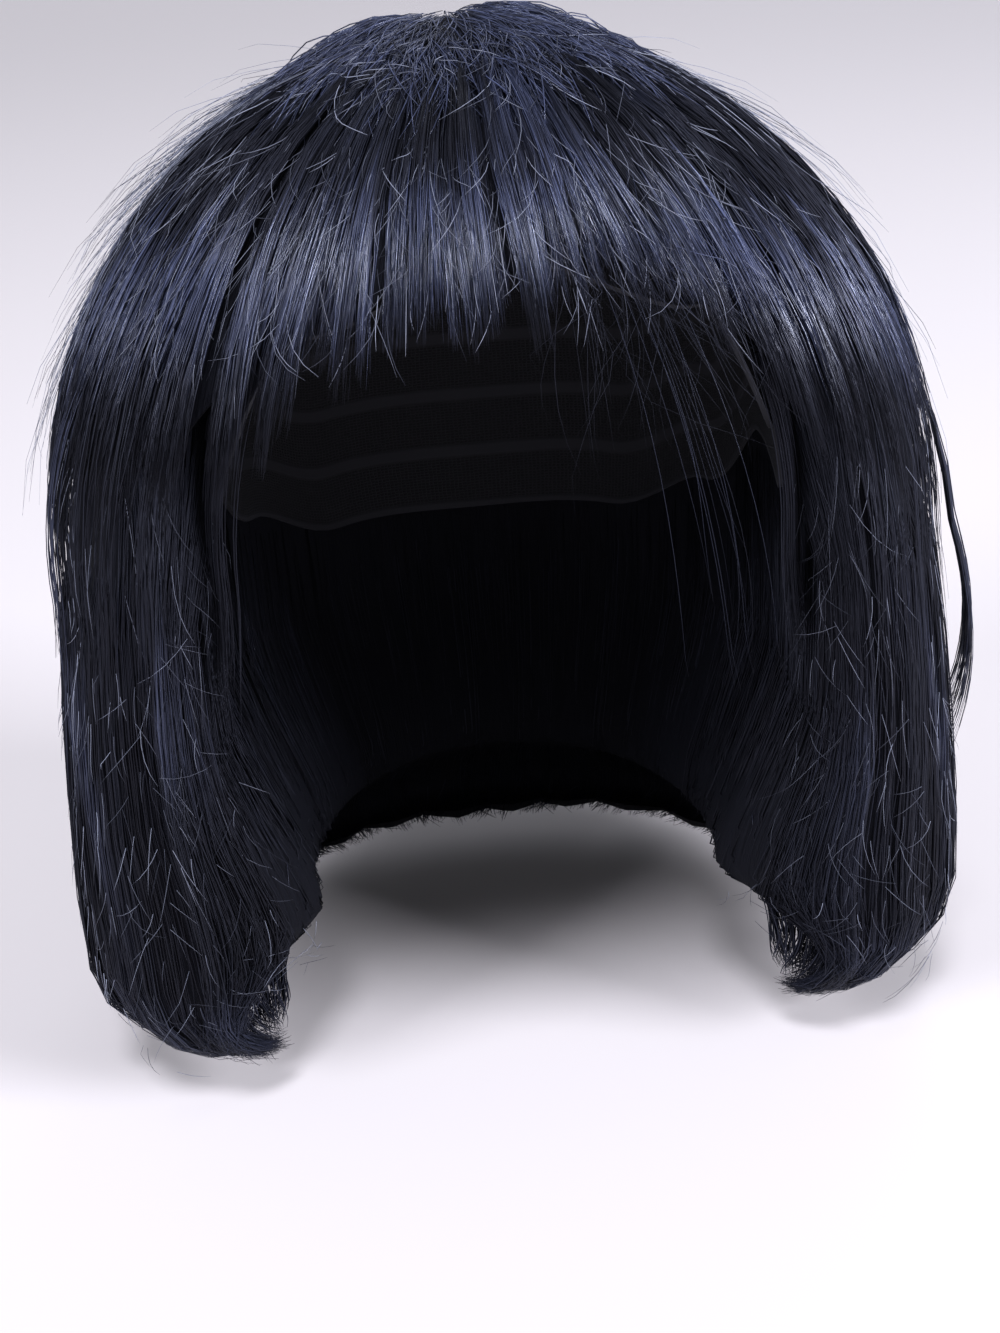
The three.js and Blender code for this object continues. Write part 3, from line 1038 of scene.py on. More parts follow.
@dataclass
class LongLayer(HairLayer):
    """The long hair under the upper layer, which comes out to the full shape below it."""

    rounding: float = 0.3
    rounding_run: float = 16.0
    # Gloss, and with it a painted highlight: a little everywhere, in glint patches down the lengths
    # and round the turned ends.
    base_gloss_and_sheen: float = 0.02
    patch_gloss_and_sheen: float = 0.5
    end_gloss_and_sheen: float = 0.35

    def clear_of_upper(self, azimuth: Array, station: Array) -> Array:
        """Give 0 under the upper layer and 1 below its ends."""
        end = self.form.upper_end_station(azimuth)
        return ramp(station, end - self.form.tip_run, end)

    def edge(self, azimuth: Array, station: Array) -> Array:
        """Give how far both faces draw in at the edge beside the face: rounding share^2.

        Args:
            azimuth: Degrees round the head.
            station: Stations down the hair.

        Returns:
            The depth in millimetres.
        """
        front = self.form.side_front
        share = 1.0 - ramp(from_front(azimuth), front, front + self.rounding_run)
        depth = self.form.thickness(azimuth, station) * self.rounding * share**2
        return depth * self.clear_of_upper(azimuth, station)

    def crest(self, azimuth: Array, station: Array) -> Array:
        """Give the depth of the locks' crests: under the upper layer, and 0 past its ends.

        Args:
            azimuth: Degrees round the head.
            station: Stations down the hair.

        Returns:
            The depth in millimetres.
        """
        end = self.form.upper_end_station(azimuth)
        hidden = self.form.upper_depth(azimuth, station) + self.form.layer_clearance
        out = ease(station, end, end + 1.5 * self.form.tip_run)
        return hidden * (1.0 - out) + self.edge(azimuth, station)

    def relief(self, azimuth: Array, station: Array) -> Array:
        """Give how far the grooves lie below the crests."""
        groove = mix(self.form.lock_relief, self.form.tip_thickness / 2, ease(station, 2.0, 3.0))
        return groove * self.clear_of_upper(azimuth, station)

    def under(self, azimuth: Array, station: Array) -> Array:
        """Give the depth of the underside: the full thickness, less and less in the curl.

        Args:
            azimuth: Degrees round the head.
            station: Stations down the hair.

        Returns:
            The depth in millimetres.
        """
        full = self.form.thickness(azimuth, station)
        end = np.minimum(full, self.form.lock_relief + self.form.tip_thickness)
        return mix(full, end, ease(station, 2.0, 2.8)) - self.edge(azimuth, station)

    def gloss(self, azimuth: Array, station: Array, shift: Array) -> Array:
        """Give how glossy a strand is, and so where glints are painted: patches down the lengths,
        and the turn of the ends.

        The patches are where a sine wave round the head, which sways down the hair, is high.

        Args:
            azimuth: Degrees round the head.
            station: Stations down the hair.
            shift: How much later each strand turns glossy.

        Returns:
            The gloss from 0 to 1.
        """
        patch = np.sin(np.radians(azimuth) * 23.0 + 3.0 * np.sin(station * 2.6))
        place = ease(station, 1.0, 1.2) * (1.0 - 0.8 * ease(station, 1.5, 1.8))
        gloss = self.base_gloss_and_sheen + self.patch_gloss_and_sheen * ease(patch + 6.0 * shift, 0.2, 1.0) * place
        turned = ease(station, 2.1, 2.4) * (1.0 - ease(station, 2.75, 3.0))
        return gloss + self.end_gloss_and_sheen * turned


@dataclass
class CrownTuft:
    """The short hair over the crown, combed out from a parting and a little ruffled."""

    form: HairForm
    seed: int
    name: str = "crown_tuft"
    locks: int = 10
    rows: int = 14
    columns: int = 120
    strands: int = 1600
    steps: int = 7
    plan_radius: float = 36.0
    length: tuple[float, float] = (16.0, 34.0)
    # Its gloss is high and its tones run paler than the other strands', which paints a highlight
    # over the crown.
    tone: tuple[float, float] = (0.35, 1.0)
    gloss: float = 0.9
    parting: tuple[float, float] = (-2.0, 14.0)
    humps: tuple[tuple[float, float, float, float], ...] = (
        (-22.0, 14.0, 17.0, 3.4),
        (15.0, 16.0, 18.0, 4.0),
    )

    def swell(self, x: Array, y: Array) -> Array:
        """Give the height of the humps: bells at their places, each with its radius and height.

        Args:
            x: Millimetres to the wearer's left.
            y: Millimetres to the back.

        Returns:
            The height in millimetres.
        """
        total = 0.0 * x
        for hump_x, hump_y, radius, height in self.humps:
            distance = ((x - hump_x) ** 2 + (y - hump_y) ** 2) / radius**2
            total = total + height * np.exp(-distance)
        return total

    def groove(self, azimuth: Array, station: Array) -> Array:
        """Give the depth of the grooves between the tuft's locks: relief share^2, none on top.

        Args:
            azimuth: Degrees round the head.
            station: Stations down the hair.

        Returns:
            The depth in millimetres.
        """
        share = np.abs(1.0 - 2.0 * (azimuth / 360.0 * self.locks % 1.0))
        deep = self.form.lock_relief * share**2
        return deep * ramp(station, 0.0, self.form.crown_station())

    def body(self) -> MeshData:
        """Work out the tuft's closed dome, with a groove between its locks.

        Returns:
            The body, with azimuth and station as its UV map.
        """
        end = self.form.crown_station() - 0.002
        azimuth = np.linspace(0.0, 360.0, self.columns, endpoint=False)[None, :]
        station = (end * np.linspace(0.0, 1.0, self.rows + 1)[1:, None]) + 0 * azimuth
        plan = around(self.form.outer(azimuth, station)[0], azimuth, 0.0)
        swell = self.swell(plan[..., 0], plan[..., 1]) * ramp(station, end, 0.15)
        outer = self.form.point(azimuth, station, 1.0 + self.groove(azimuth, station) - swell)
        inner = self.form.point(azimuth, station, self.form.thickness(azimuth, station))
        return dome(outer, inner, np.stack([azimuth + 0 * station, station], axis=-1))

    def lay(self, rng: np.random.Generator) -> StrandSet:
        """Lay strands out from the parting.

        Each starts at a place in the tuft's plan and runs straight away from the parting, turned a
        little aside. Its plan distance from the upright axis gives its station.

        Args:
            rng: The source of differences.

        Returns:
            The strands.
        """
        count = self.strands
        down = np.linspace(0.0, 1.0, self.steps)[None, :]
        out = self.plan_radius * np.sqrt(rng.uniform(0, 1, count))
        turn = rng.uniform(0, 2 * np.pi, count)
        x, y = column(out * np.sin(turn)), column(out * np.cos(turn))
        heading = np.arctan2(x - self.parting[0], self.parting[1] - y)
        heading = heading + column(rng.normal(0.0, 0.2, count))
        heading = heading + 0.25 * down * column(rng.normal(0.0, 1.0, count))
        length = column(rng.uniform(*self.length, count))
        x = x + np.sin(heading) * length * down
        y = y - np.cos(heading) * length * down
        azimuth = np.degrees(np.arctan2(x, -y))
        edge, _ = self.form.outer(azimuth, 1.0)
        station = np.arcsin(np.clip(np.hypot(x, y) / edge, 0.0, 0.9)) / QUARTER_TURN
        ruffle = column(rng.exponential(0.6, count)) * np.sin(np.pi * down) ** 2
        depth = 0.6 * self.groove(azimuth, station) - self.swell(x, y) - ruffle
        depth = depth + column(rng.uniform(-0.4, 1.2, count))
        paths = self.form.point(azimuth, station, depth)
        tone = rng.uniform(*self.tone, count)
        # Glossier steps take more of the highlight painted over the crown.
        gloss = self.gloss * rng.uniform(0.0, 1.0, paths.shape[:2])
        return StrandSet(paths, StrandStyle().radii(count, self.steps, rng), tone, gloss)

    def build(self, hair: HairFinish) -> list[bpy.types.Object]:
        """Make the tuft's body and strands, which stand for the solid of the same name."""
        strands = self.lay(np.random.default_rng(self.seed)).tubes()
        return dressed(self.name, self.body(), strands, hair)


@dataclass(frozen=True)
class Patch:
    """A part of the hair's outside, by azimuths and stations, with a number of stray hairs.

    With shares, from the outside to the inside, it is a part of a front face instead.
    """

    azimuths: tuple[float, float]
    stations: tuple[float, float]
    count: int
    length: tuple[float, float] = (10.0, 34.0)
    height: float = 2.0
    turn: float = 22.0
    radius: float = 0.11
    shares: tuple[float, float] | None = None

    @property
    def style(self) -> StrandStyle:
        """Give the form of its hairs, which thin out towards their tips."""
        return StrandStyle(radius=self.radius, root_share=0.9, tip_share=0.3)


@dataclass
class StrayHairs:
    """Short stray hairs that cross the locks and stand a little off them.

    station_lengths says how many millimetres a station is long on the dome, down the sides and
    round the turned ends, face_length the same and face_reach the radius beside the face.
    """

    form: HairForm
    patches: tuple[Patch, ...]
    seed: int
    name: str = "stray_hairs"
    steps: int = 5
    # How glossy the stray hairs are, and so how much painted highlight they take.
    gloss: float = 0.2
    station_lengths: tuple[float, float, float] = (190.0, 107.0, 64.0)
    least_reach: float = 30.0
    face_length: float = 100.0
    face_reach: float = 110.0

    def lay(self, patch: Patch, rng: np.random.Generator) -> StrandSet:
        """Lay one patch of stray hairs.

        Each starts on the outside, runs off at an angle to the hair that slowly turns, and rises.
        A step of ds millimetres moves it by cos(turn) ds along the stations and sin(turn) ds round.
        Beside the face none runs past the ends of the hair it lies on.

        Args:
            patch: Where they lie.
            rng: The source of differences.

        Returns:
            The strands.
        """
        count, steps = patch.count, self.steps
        azimuth = column(rng.uniform(*patch.azimuths, count))
        station = column(rng.uniform(*patch.stations, count))
        length = column(rng.uniform(*patch.length, count))
        turn = np.radians(patch.turn) * column(rng.normal(0.0, 1.0, count))
        curve = column(rng.normal(0.0, 0.45, count))
        down = np.linspace(0.0, 1.0, steps)[None, :]
        heading = turn + curve * down
        if patch.shares is not None:
            return self.lay_face(patch, azimuth, station, length, heading, rng)
        reach, _ = self.form.outer(azimuth, station)
        on_dome, down_side, round_end = self.station_lengths
        scale = np.where(station < 1.0, on_dome, np.where(station < 2.0, down_side, round_end))
        step = length / (steps - 1)
        along = np.cumsum(np.cos(heading) * step, axis=1) / scale
        aside = np.cumsum(np.sin(heading) * step, axis=1)
        round_head = np.degrees(aside / np.maximum(reach, self.least_reach))
        height = 2.0 * patch.height * column(rng.uniform(0.0, 1.0, count) ** 2)
        beside = np.abs(azimuth) >= self.form.side_front
        azimuth = azimuth + round_head
        kept = np.sign(azimuth) * np.maximum(np.abs(azimuth), self.form.side_front)
        azimuth = np.where(beside, kept, azimuth)
        start = self.form.hair_end(azimuth[:, :1]) - along[:, -1:]
        station = np.minimum(station, start + column(rng.uniform(-0.1, 0.02, count))) + along
        over = station - self.form.hair_end(azimuth)
        station = np.where(over > 0.0, station - over + 0.05 * np.tanh(over / 0.05), station)
        depth = 0.4 - height * ease(down, 0.0, 1.0)
        paths = self.form.point(azimuth, np.maximum(station, 0.0), depth)
        radii, gloss = patch.style.radii(count, steps, rng), self.gloss + 0 * paths[:, :, 0]
        return StrandSet(paths, radii, rng.uniform(0.2, 1.0, count), gloss)

    def lay_face(self, patch: Patch, azimuth: Array, station: Array, length: Array, heading: Array,
                 rng: np.random.Generator) -> StrandSet:
        """Lay stray hairs over a front face, where sin(turn) ds goes inwards instead of round.

        Args:
            patch: Where they lie.
            azimuth: Where each starts round the head.
            station: Where each starts down the hair.
            length: How long each is.
            heading: Its angle to the hair at each step.
            rng: The source of differences.

        Returns:
            The strands.
        """
        down = np.linspace(0.0, 1.0, self.steps)[None, :]
        step = length / (self.steps - 1)
        inward = np.cumsum(np.sin(heading) * step, axis=1)
        along = np.cumsum(np.cos(heading) * step, axis=1) / self.face_length
        station = np.minimum(station + along, 3.0)
        full = self.form.thickness(azimuth, station)
        share = rng.uniform(*patch.shares, (patch.count, 1))
        depth = np.clip(share * full + inward, -1.5, full + 2.0)
        height = 2.0 * patch.height * rng.uniform(0.0, 1.0, (patch.count, 1)) ** 2
        rise = np.degrees(height / self.face_reach)
        azimuth = azimuth - np.sign(azimuth) * rise * ease(down, 0.0, 1.0)
        paths = self.form.point(azimuth, station, depth)
        tone, gloss = rng.uniform(0.1, 0.85, patch.count), self.gloss + 0 * paths[:, :, 0]
        return StrandSet(paths, patch.style.radii(patch.count, self.steps, rng), tone, gloss)

    def build(self, hair: HairFinish) -> list[bpy.types.Object]:
        """Make the stray hairs as one piece.

        Args:
            hair: The hair's finish.

        Returns:
            The piece.
        """
        rng = np.random.default_rng(self.seed)
        mesh = merged([self.lay(patch, rng).tubes() for patch in self.patches])
        piece = mesh.build(self.name)
        piece.data.materials.append(hair.stray())
        return [piece]


@dataclass(frozen=True)
class LooseLock:
    """A thin lock that hangs free of the layers, or a bunch of hair ends beside the face.

    It has an azimuth and a depth at its root, its middle and its tip, and a station at its root and
    its tip. Its width is in degrees, and its tip is fan times as wide.
    """

    azimuth: tuple[float, float, float]
    station: tuple[float, float]
    depth: tuple[float, float, float]
    count: int
    width: float
    fan: float = 1.0
    radius: float = 0.16
    # How glossy its strands are, and so how much painted highlight they take.
    gloss: float = 0.3

    @property
    def style(self) -> StrandStyle:
        """Give the form of its strands, which thin out towards their tips."""
        return StrandStyle(radius=self.radius, root_share=0.8, tip_share=0.25)


def parabola(values: tuple[float, float, float], share: Array) -> Array:
    """Give the parabola through three values.

    Args:
        values: The values at share 0, a half and 1.
        share: The share of the way.

    Returns:
        The values between them.
    """
    first, middle, last = values
    linear, square = 4 * middle - 3 * first - last, 2 * first + 2 * last - 4 * middle
    return first + linear * share + square * share**2


@dataclass
class LooseLocks:
    """The loose locks, the few long strands over the open face, and the hair ends beside it."""

    form: HairForm
    locks: tuple[LooseLock, ...]
    seed: int
    name: str = "loose_locks"
    steps: int = 14

    def lay(self, lock: LooseLock, rng: np.random.Generator) -> StrandSet:
        """Lay one loose lock along the parabola through its three places.

        Its strands lie side by side by a bell of its width, and each waves more towards its tip.

        Args:
            lock: The lock.
            rng: The source of differences.

        Returns:
            The strands.
        """
        count = lock.count
        down = np.linspace(0.0, 1.0, self.steps)[None, :]
        own = column(rng.normal(0.0, 0.5, count))
        tip = column(lock.station[1] + rng.uniform(-0.12, 0.06, count) * lock.fan)
        station = mix(lock.station[0], tip, down)
        beat = column(rng.uniform(3.0, 7.0, count))
        wave = np.sin(down * beat + column(rng.uniform(0, 6, count)))
        azimuth = parabola(lock.azimuth, down) + own * lock.width * mix(1.0, lock.fan, down)
        azimuth = azimuth + 0.35 * lock.width * wave * column(rng.normal(0.0, 0.6, count)) * down
        aside = column(rng.uniform(-1.0, 1.0, count)) * mix(0.6, 1.6, down)
        paths = self.form.point(azimuth, station, parabola(lock.depth, down) + aside)
        radii, gloss = lock.style.radii(count, self.steps, rng), lock.gloss + 0 * paths[:, :, 0]
        return StrandSet(paths, radii, rng.uniform(0, 1, count), gloss)

    def build(self, hair: HairFinish) -> list[bpy.types.Object]:
        """Make the loose locks as one piece.

        Args:
            hair: The hair's finish.

        Returns:
            The piece.
        """
        rng = np.random.default_rng(self.seed)
        piece = merged([self.lay(lock, rng).tubes() for lock in self.locks]).build(self.name)
        piece.data.materials.append(hair.strand())
        return [piece]


@dataclass
class WigCap:
    """The stretch net cap and the band round its rim.

    It is about height long from its top to its rim. Its outside stays inset inside the solid's, its
    inside lies so far off the head, and its net has a thread every few degrees and rows of threads.
    """

    form: HairForm
    columns: int = 120
    rows: int = 24
    height: float = 110.0
    band_height: float = 7.0
    band_edge: float = 2.5
    band_bulge: float = 0.7
    inset: float = 0.1
    inside: float = 0.5
    thread_degrees: float = 3.0
    thread_rows: float = 60.0
    name: str = "wig_cap"

    def surface(self, share: Array, azimuth: Array, offset: Array) -> Array:
        """Place points of the cap by the share of the way from its top to its rim.

        Args:
            share: Share of the way down.
            azimuth: Degrees round the head.
            offset: Millimetres off the head.

        Returns:
            The points.
        """
        head = self.form.head
        rim = head.angle_at(-self.form.rim.at(azimuth), self.form.cap_thickness)
        reach, z = head.point(azimuth, rim * share, offset)
        return around(reach, azimuth, z)

    def shell(self) -> MeshData:
        """Work out the closed shell: the outside, the inside and the rim between them.

        Returns:
            The shell, with threads and rows of threads as its UV map.
        """
        azimuth = np.linspace(0.0, 360.0, self.columns, endpoint=False)[None, :]
        share = np.linspace(0.0, 1.0, self.rows + 1)[1:, None]
        start, stop = 1 - self.band_height / self.height, 1 - self.band_edge / self.height
        band = self.band_bulge * ease(share, start, stop)
        outer = self.surface(share, azimuth, self.form.cap_thickness - self.inset + 0 * band)
        inner = self.surface(share, azimuth, self.inside - band * 0.7)
        threads = azimuth / self.thread_degrees + 0 * share
        uv = np.stack([threads, share * self.thread_rows + 0 * azimuth], axis=-1)
        return dome(outer, inner, uv)

    def build(self, net: NetFinish) -> list[bpy.types.Object]:
        """Make the cap.

        Args:
            net: The net's finish.

        Returns:
            The piece.
        """
        shell = self.shell().build("cap_net", smooth_angle=50.0)
        shell.data.materials.append(net.material())
        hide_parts(self.name)
        return [shell]


@dataclass(frozen=True)
class NodeSheet:
    """Adds nodes to one node tree. A value of an input is a number, a colour or a socket."""

    tree: bpy.types.NodeTree

    def fill(self, node: bpy.types.Node, values: dict[str | int, object]) -> bpy.types.Node:
        """Set inputs of a node, or link them where the value is a socket.

        Args:
            node: The node.
            values: The values by the inputs' names or places.

        Returns:
            The node.
        """
        for key, value in values.items():
            if isinstance(value, bpy.types.NodeSocket):
                self.tree.links.new(value, node.inputs[key])
            else:
                node.inputs[key].default_value = value
        return node

    def add(self, kind: str, **values: object) -> bpy.types.Node:
        """Add a node, with underscores for the blanks in its inputs' names."""
        named = {key.replace("_", " "): value for key, value in values.items()}
        return self.fill(self.tree.nodes.new(kind), named)

    def maths(self, operation: str, *values: object, clamped: bool = False) -> bpy.types.NodeSocket:
        """Add a maths node.

        Args:
            operation: What it works out.
            values: Its values in order.
            clamped: Whether the result stays from 0 to 1.

        Returns:
            The result.
        """
        node = self.fill(self.tree.nodes.new("ShaderNodeMath"), dict(enumerate(values)))
        node.operation, node.use_clamp = operation, clamped
        return node.outputs["Value"]

    def scaled(self, value: bpy.types.NodeSocket, **limits: float) -> bpy.types.NodeSocket:
        """Map a value from one span to another, each 0 to 1 where it isn't given."""
        return self.add("ShaderNodeMapRange", Value=value, **limits).outputs["Result"]

    def bump(self, height: bpy.types.NodeSocket, strength: float) -> bpy.types.NodeSocket:
        """Turn a height of up to 0.6 mm into a surface direction."""
        node = self.add("ShaderNodeBump", Height=height, Strength=strength, Distance=0.6 * METRES)
        return node.outputs["Normal"]

    def attribute(self, name: str) -> bpy.types.NodeSocket:
        """Give a value that the mesh holds under a name.

        Args:
            name: Its name.

        Returns:
            The value.
        """
        node = self.tree.nodes.new("ShaderNodeAttribute")
        node.attribute_name = name
        return node.outputs["Fac"]

    def hair_map(self) -> bpy.types.NodeSocket:
        """Give the UV map, which runs round the head and down the hair.

        Returns:
            The coordinate.
        """
        node = self.tree.nodes.new("ShaderNodeUVMap")
        node.uv_map = "hair"
        return node.outputs["UV"]

    def two_tone(self, share: object, dark: object, light: object) -> bpy.types.NodeSocket:
        """Mix two colours.

        Args:
            share: How much of the second.
            dark: The first.
            light: The second.

        Returns:
            The colour.
        """
        node = self.tree.nodes.new("ShaderNodeMix")
        node.data_type = "RGBA"
        return self.fill(node, {0: share, 6: dark, 7: light}).outputs[2]


def streak_group() -> bpy.types.NodeTree:
    """Build, once, the group that gives fine streaks along the hair.

    It stretches a noise along the second axis of a coordinate, so that it varies quickly across the
    hair and slowly down it: streak = (noise - 1/2) contrast + 1/2, from 0 to 1.

    Returns:
        The node group.
    """
    name = "hair_streaks"
    if name in bpy.data.node_groups:
        return bpy.data.node_groups[name]
    group = bpy.data.node_groups.new(name, "ShaderNodeTree")
    face = group.interface
    face.new_socket("Vector", in_out="INPUT", socket_type="NodeSocketVector")
    for socket in ("Across", "Down", "Contrast"):
        face.new_socket(socket, in_out="INPUT", socket_type="NodeSocketFloat")
    face.new_socket("Streak", in_out="OUTPUT", socket_type="NodeSocketFloat")
    sheet, given = NodeSheet(group), group.nodes.new("NodeGroupInput").outputs
    scale = sheet.add("ShaderNodeCombineXYZ", X=given["Across"], Y=given["Down"], Z=1.0)
    stretch = group.nodes.new("ShaderNodeVectorMath")
    stretch.operation = "MULTIPLY"
    sheet.fill(stretch, {0: given["Vector"], 1: scale.outputs["Vector"]})
    place = stretch.outputs["Vector"]
    noise = sheet.add("ShaderNodeTexNoise", Vector=place, Scale=1.0, Detail=3.0, Roughness=0.6)
    centred = sheet.maths("SUBTRACT", noise.outputs["Fac"], 0.5)
    streak = sheet.maths("MULTIPLY_ADD", centred, given["Contrast"], 0.5, clamped=True)
    sheet.add("NodeGroupOutput", Streak=streak)
    return group


def blank_material(name: str) -> tuple[bpy.types.Material, bpy.types.Node]:
    """Give a new node material and its shader.

    Args:
        name: The material's name.

    Returns:
        Both.
    """
    material = bpy.data.materials.new(name)
    material.use_nodes = True
    return material, material.node_tree.nodes["Principled BSDF"]


@dataclass(frozen=True)
class HairFinish:
    """Black synthetic fibre, glossy, with a cool highlight painted into the colour of its glossy
    strands.
    """

    dark: Colour = (0.002, 0.002, 0.0025, 1.0)
    light: Colour = (0.0075, 0.008, 0.0105, 1.0)
    # A cool highlight painted into the colour of glossy strands.
    painted_sheen: Colour = (0.046, 0.056, 0.108, 1.0)
    mass_light: Colour = (0.005, 0.0053, 0.007, 1.0)
    # Stray hairs are painted paler for the glints that they catch.
    stray_painted_glint: Colour = (0.24, 0.25, 0.29, 1.0)
    tint: Colour = (0.75, 0.76, 1.0, 1.0)
    roughness: float = 0.55
    gloss: float = 0.16
    mass_gloss: float = 0.07
    coat_roughness: float = 0.24
    coat_ior: float = 1.65

    def fibre(self, name: str, light: Colour) -> bpy.types.Material:
        """Give a material for single hairs, each with a tone and a gloss of its own.

        Its colour is dark + tone^2 (light - dark). Gloss times the tone weighs the glossy coat and
        mixes in the sheen colour, a cool highlight painted into the colour.

        Args:
            name: The material's name.
            light: The colour of the palest hairs: their own tone for laid strands, and a painted
                glint for stray hairs.

        Returns:
            The material.
        """
        if name in bpy.data.materials:
            return bpy.data.materials[name]
        material, shader = blank_material(name)
        sheet = NodeSheet(material.node_tree)
        tone, gloss = sheet.attribute("tone"), sheet.attribute("gloss")
        base = sheet.two_tone(sheet.maths("POWER", tone, 2.0), self.dark, light)
        coat_and_sheen = sheet.maths("MULTIPLY", sheet.scaled(tone, To_Min=0.12, To_Max=1.0), gloss)
        sheet.fill(shader, {
            "Base Color": sheet.two_tone(coat_and_sheen, base, self.painted_sheen),
            # The glossy strands' colour is mixed towards the sheen colour: a painted highlight.
            "Roughness": self.roughness,
            "Specular IOR Level": self.gloss,
            "Specular Tint": self.tint,
            "Coat Weight": coat_and_sheen,
            "Coat Roughness": self.coat_roughness,
            "Coat IOR": self.coat_ior,
        })
        return material

    def strand(self) -> bpy.types.Material:
        """Give the finish of the laid strands."""
        return self.fibre("hair_strand", self.light)

    def stray(self) -> bpy.types.Material:
        """Give the finish of the fine stray hairs, painted paler for the glints that they catch."""
        return self.fibre("hair_stray", self.stray_painted_glint)

    def mass(self) -> bpy.types.Material:
        """Give the bodies' material: dark, with fine streaks along the hair.

        Returns:
            The material.
        """
        name = "hair_mass"
        if name in bpy.data.materials:
            return bpy.data.materials[name]
        material, shader = blank_material(name)
        sheet = NodeSheet(material.node_tree)
        streaks = material.node_tree.nodes.new("ShaderNodeGroup")
        streaks.node_tree = streak_group()
        place = {"Vector": sheet.hair_map(), "Across": 6.0, "Down": 2.5, "Contrast": 3.0}
        streak = sheet.fill(streaks, place).outputs["Streak"]
        sheet.fill(shader, {
            "Base Color": sheet.two_tone(streak, self.dark, self.mass_light),
            "Roughness": sheet.scaled(streak, To_Min=0.5, To_Max=0.7),
            "Specular IOR Level": self.mass_gloss,
            "Specular Tint": self.tint,
            "Normal": sheet.bump(streak, 0.6),
        })
        return material


@dataclass(frozen=True)
class NetFinish:
    """Matte black stretch net with the hair's sewn rows across it."""

    dark: Colour = (0.004, 0.004, 0.005, 1.0)
    light: Colour = (0.013, 0.013, 0.016, 1.0)
    roughness: float = 0.85
    gloss: float = 0.25

    def material(self) -> bpy.types.Material:
        """Give the net's material: crossed threads, and a raised row every few millimetres.

        Threads lie where the distance to a cell's edge is small, and rows where a wave is high. The
        higher of the two is the surface's height and its share of the light colour.

        Returns:
            The material.
        """
        material, shader = blank_material("cap_net")
        sheet = NodeSheet(material.node_tree)
        place = sheet.hair_map()
        cells = sheet.add("ShaderNodeTexVoronoi", Vector=place, Scale=3.6, Randomness=0.3)
        cells.feature = "DISTANCE_TO_EDGE"
        wave = sheet.add("ShaderNodeTexWave", Vector=place, Scale=0.055, Distortion=0.4, Detail=1.0)
        wave.bands_direction = "Y"
        threads = sheet.scaled(
            cells.outputs["Distance"], From_Min=0.06, From_Max=0.22, To_Min=0.7, To_Max=0.0
        )
        rows = sheet.scaled(wave.outputs["Fac"], From_Min=0.82, From_Max=0.95)
        both = sheet.maths("MAXIMUM", threads, rows)
        sheet.fill(shader, {
            "Base Color": sheet.two_tone(both, self.dark, self.light),
            "Roughness": self.roughness,
            "Specular IOR Level": self.gloss,
            "Normal": sheet.bump(both, 0.5),
        })
        return material


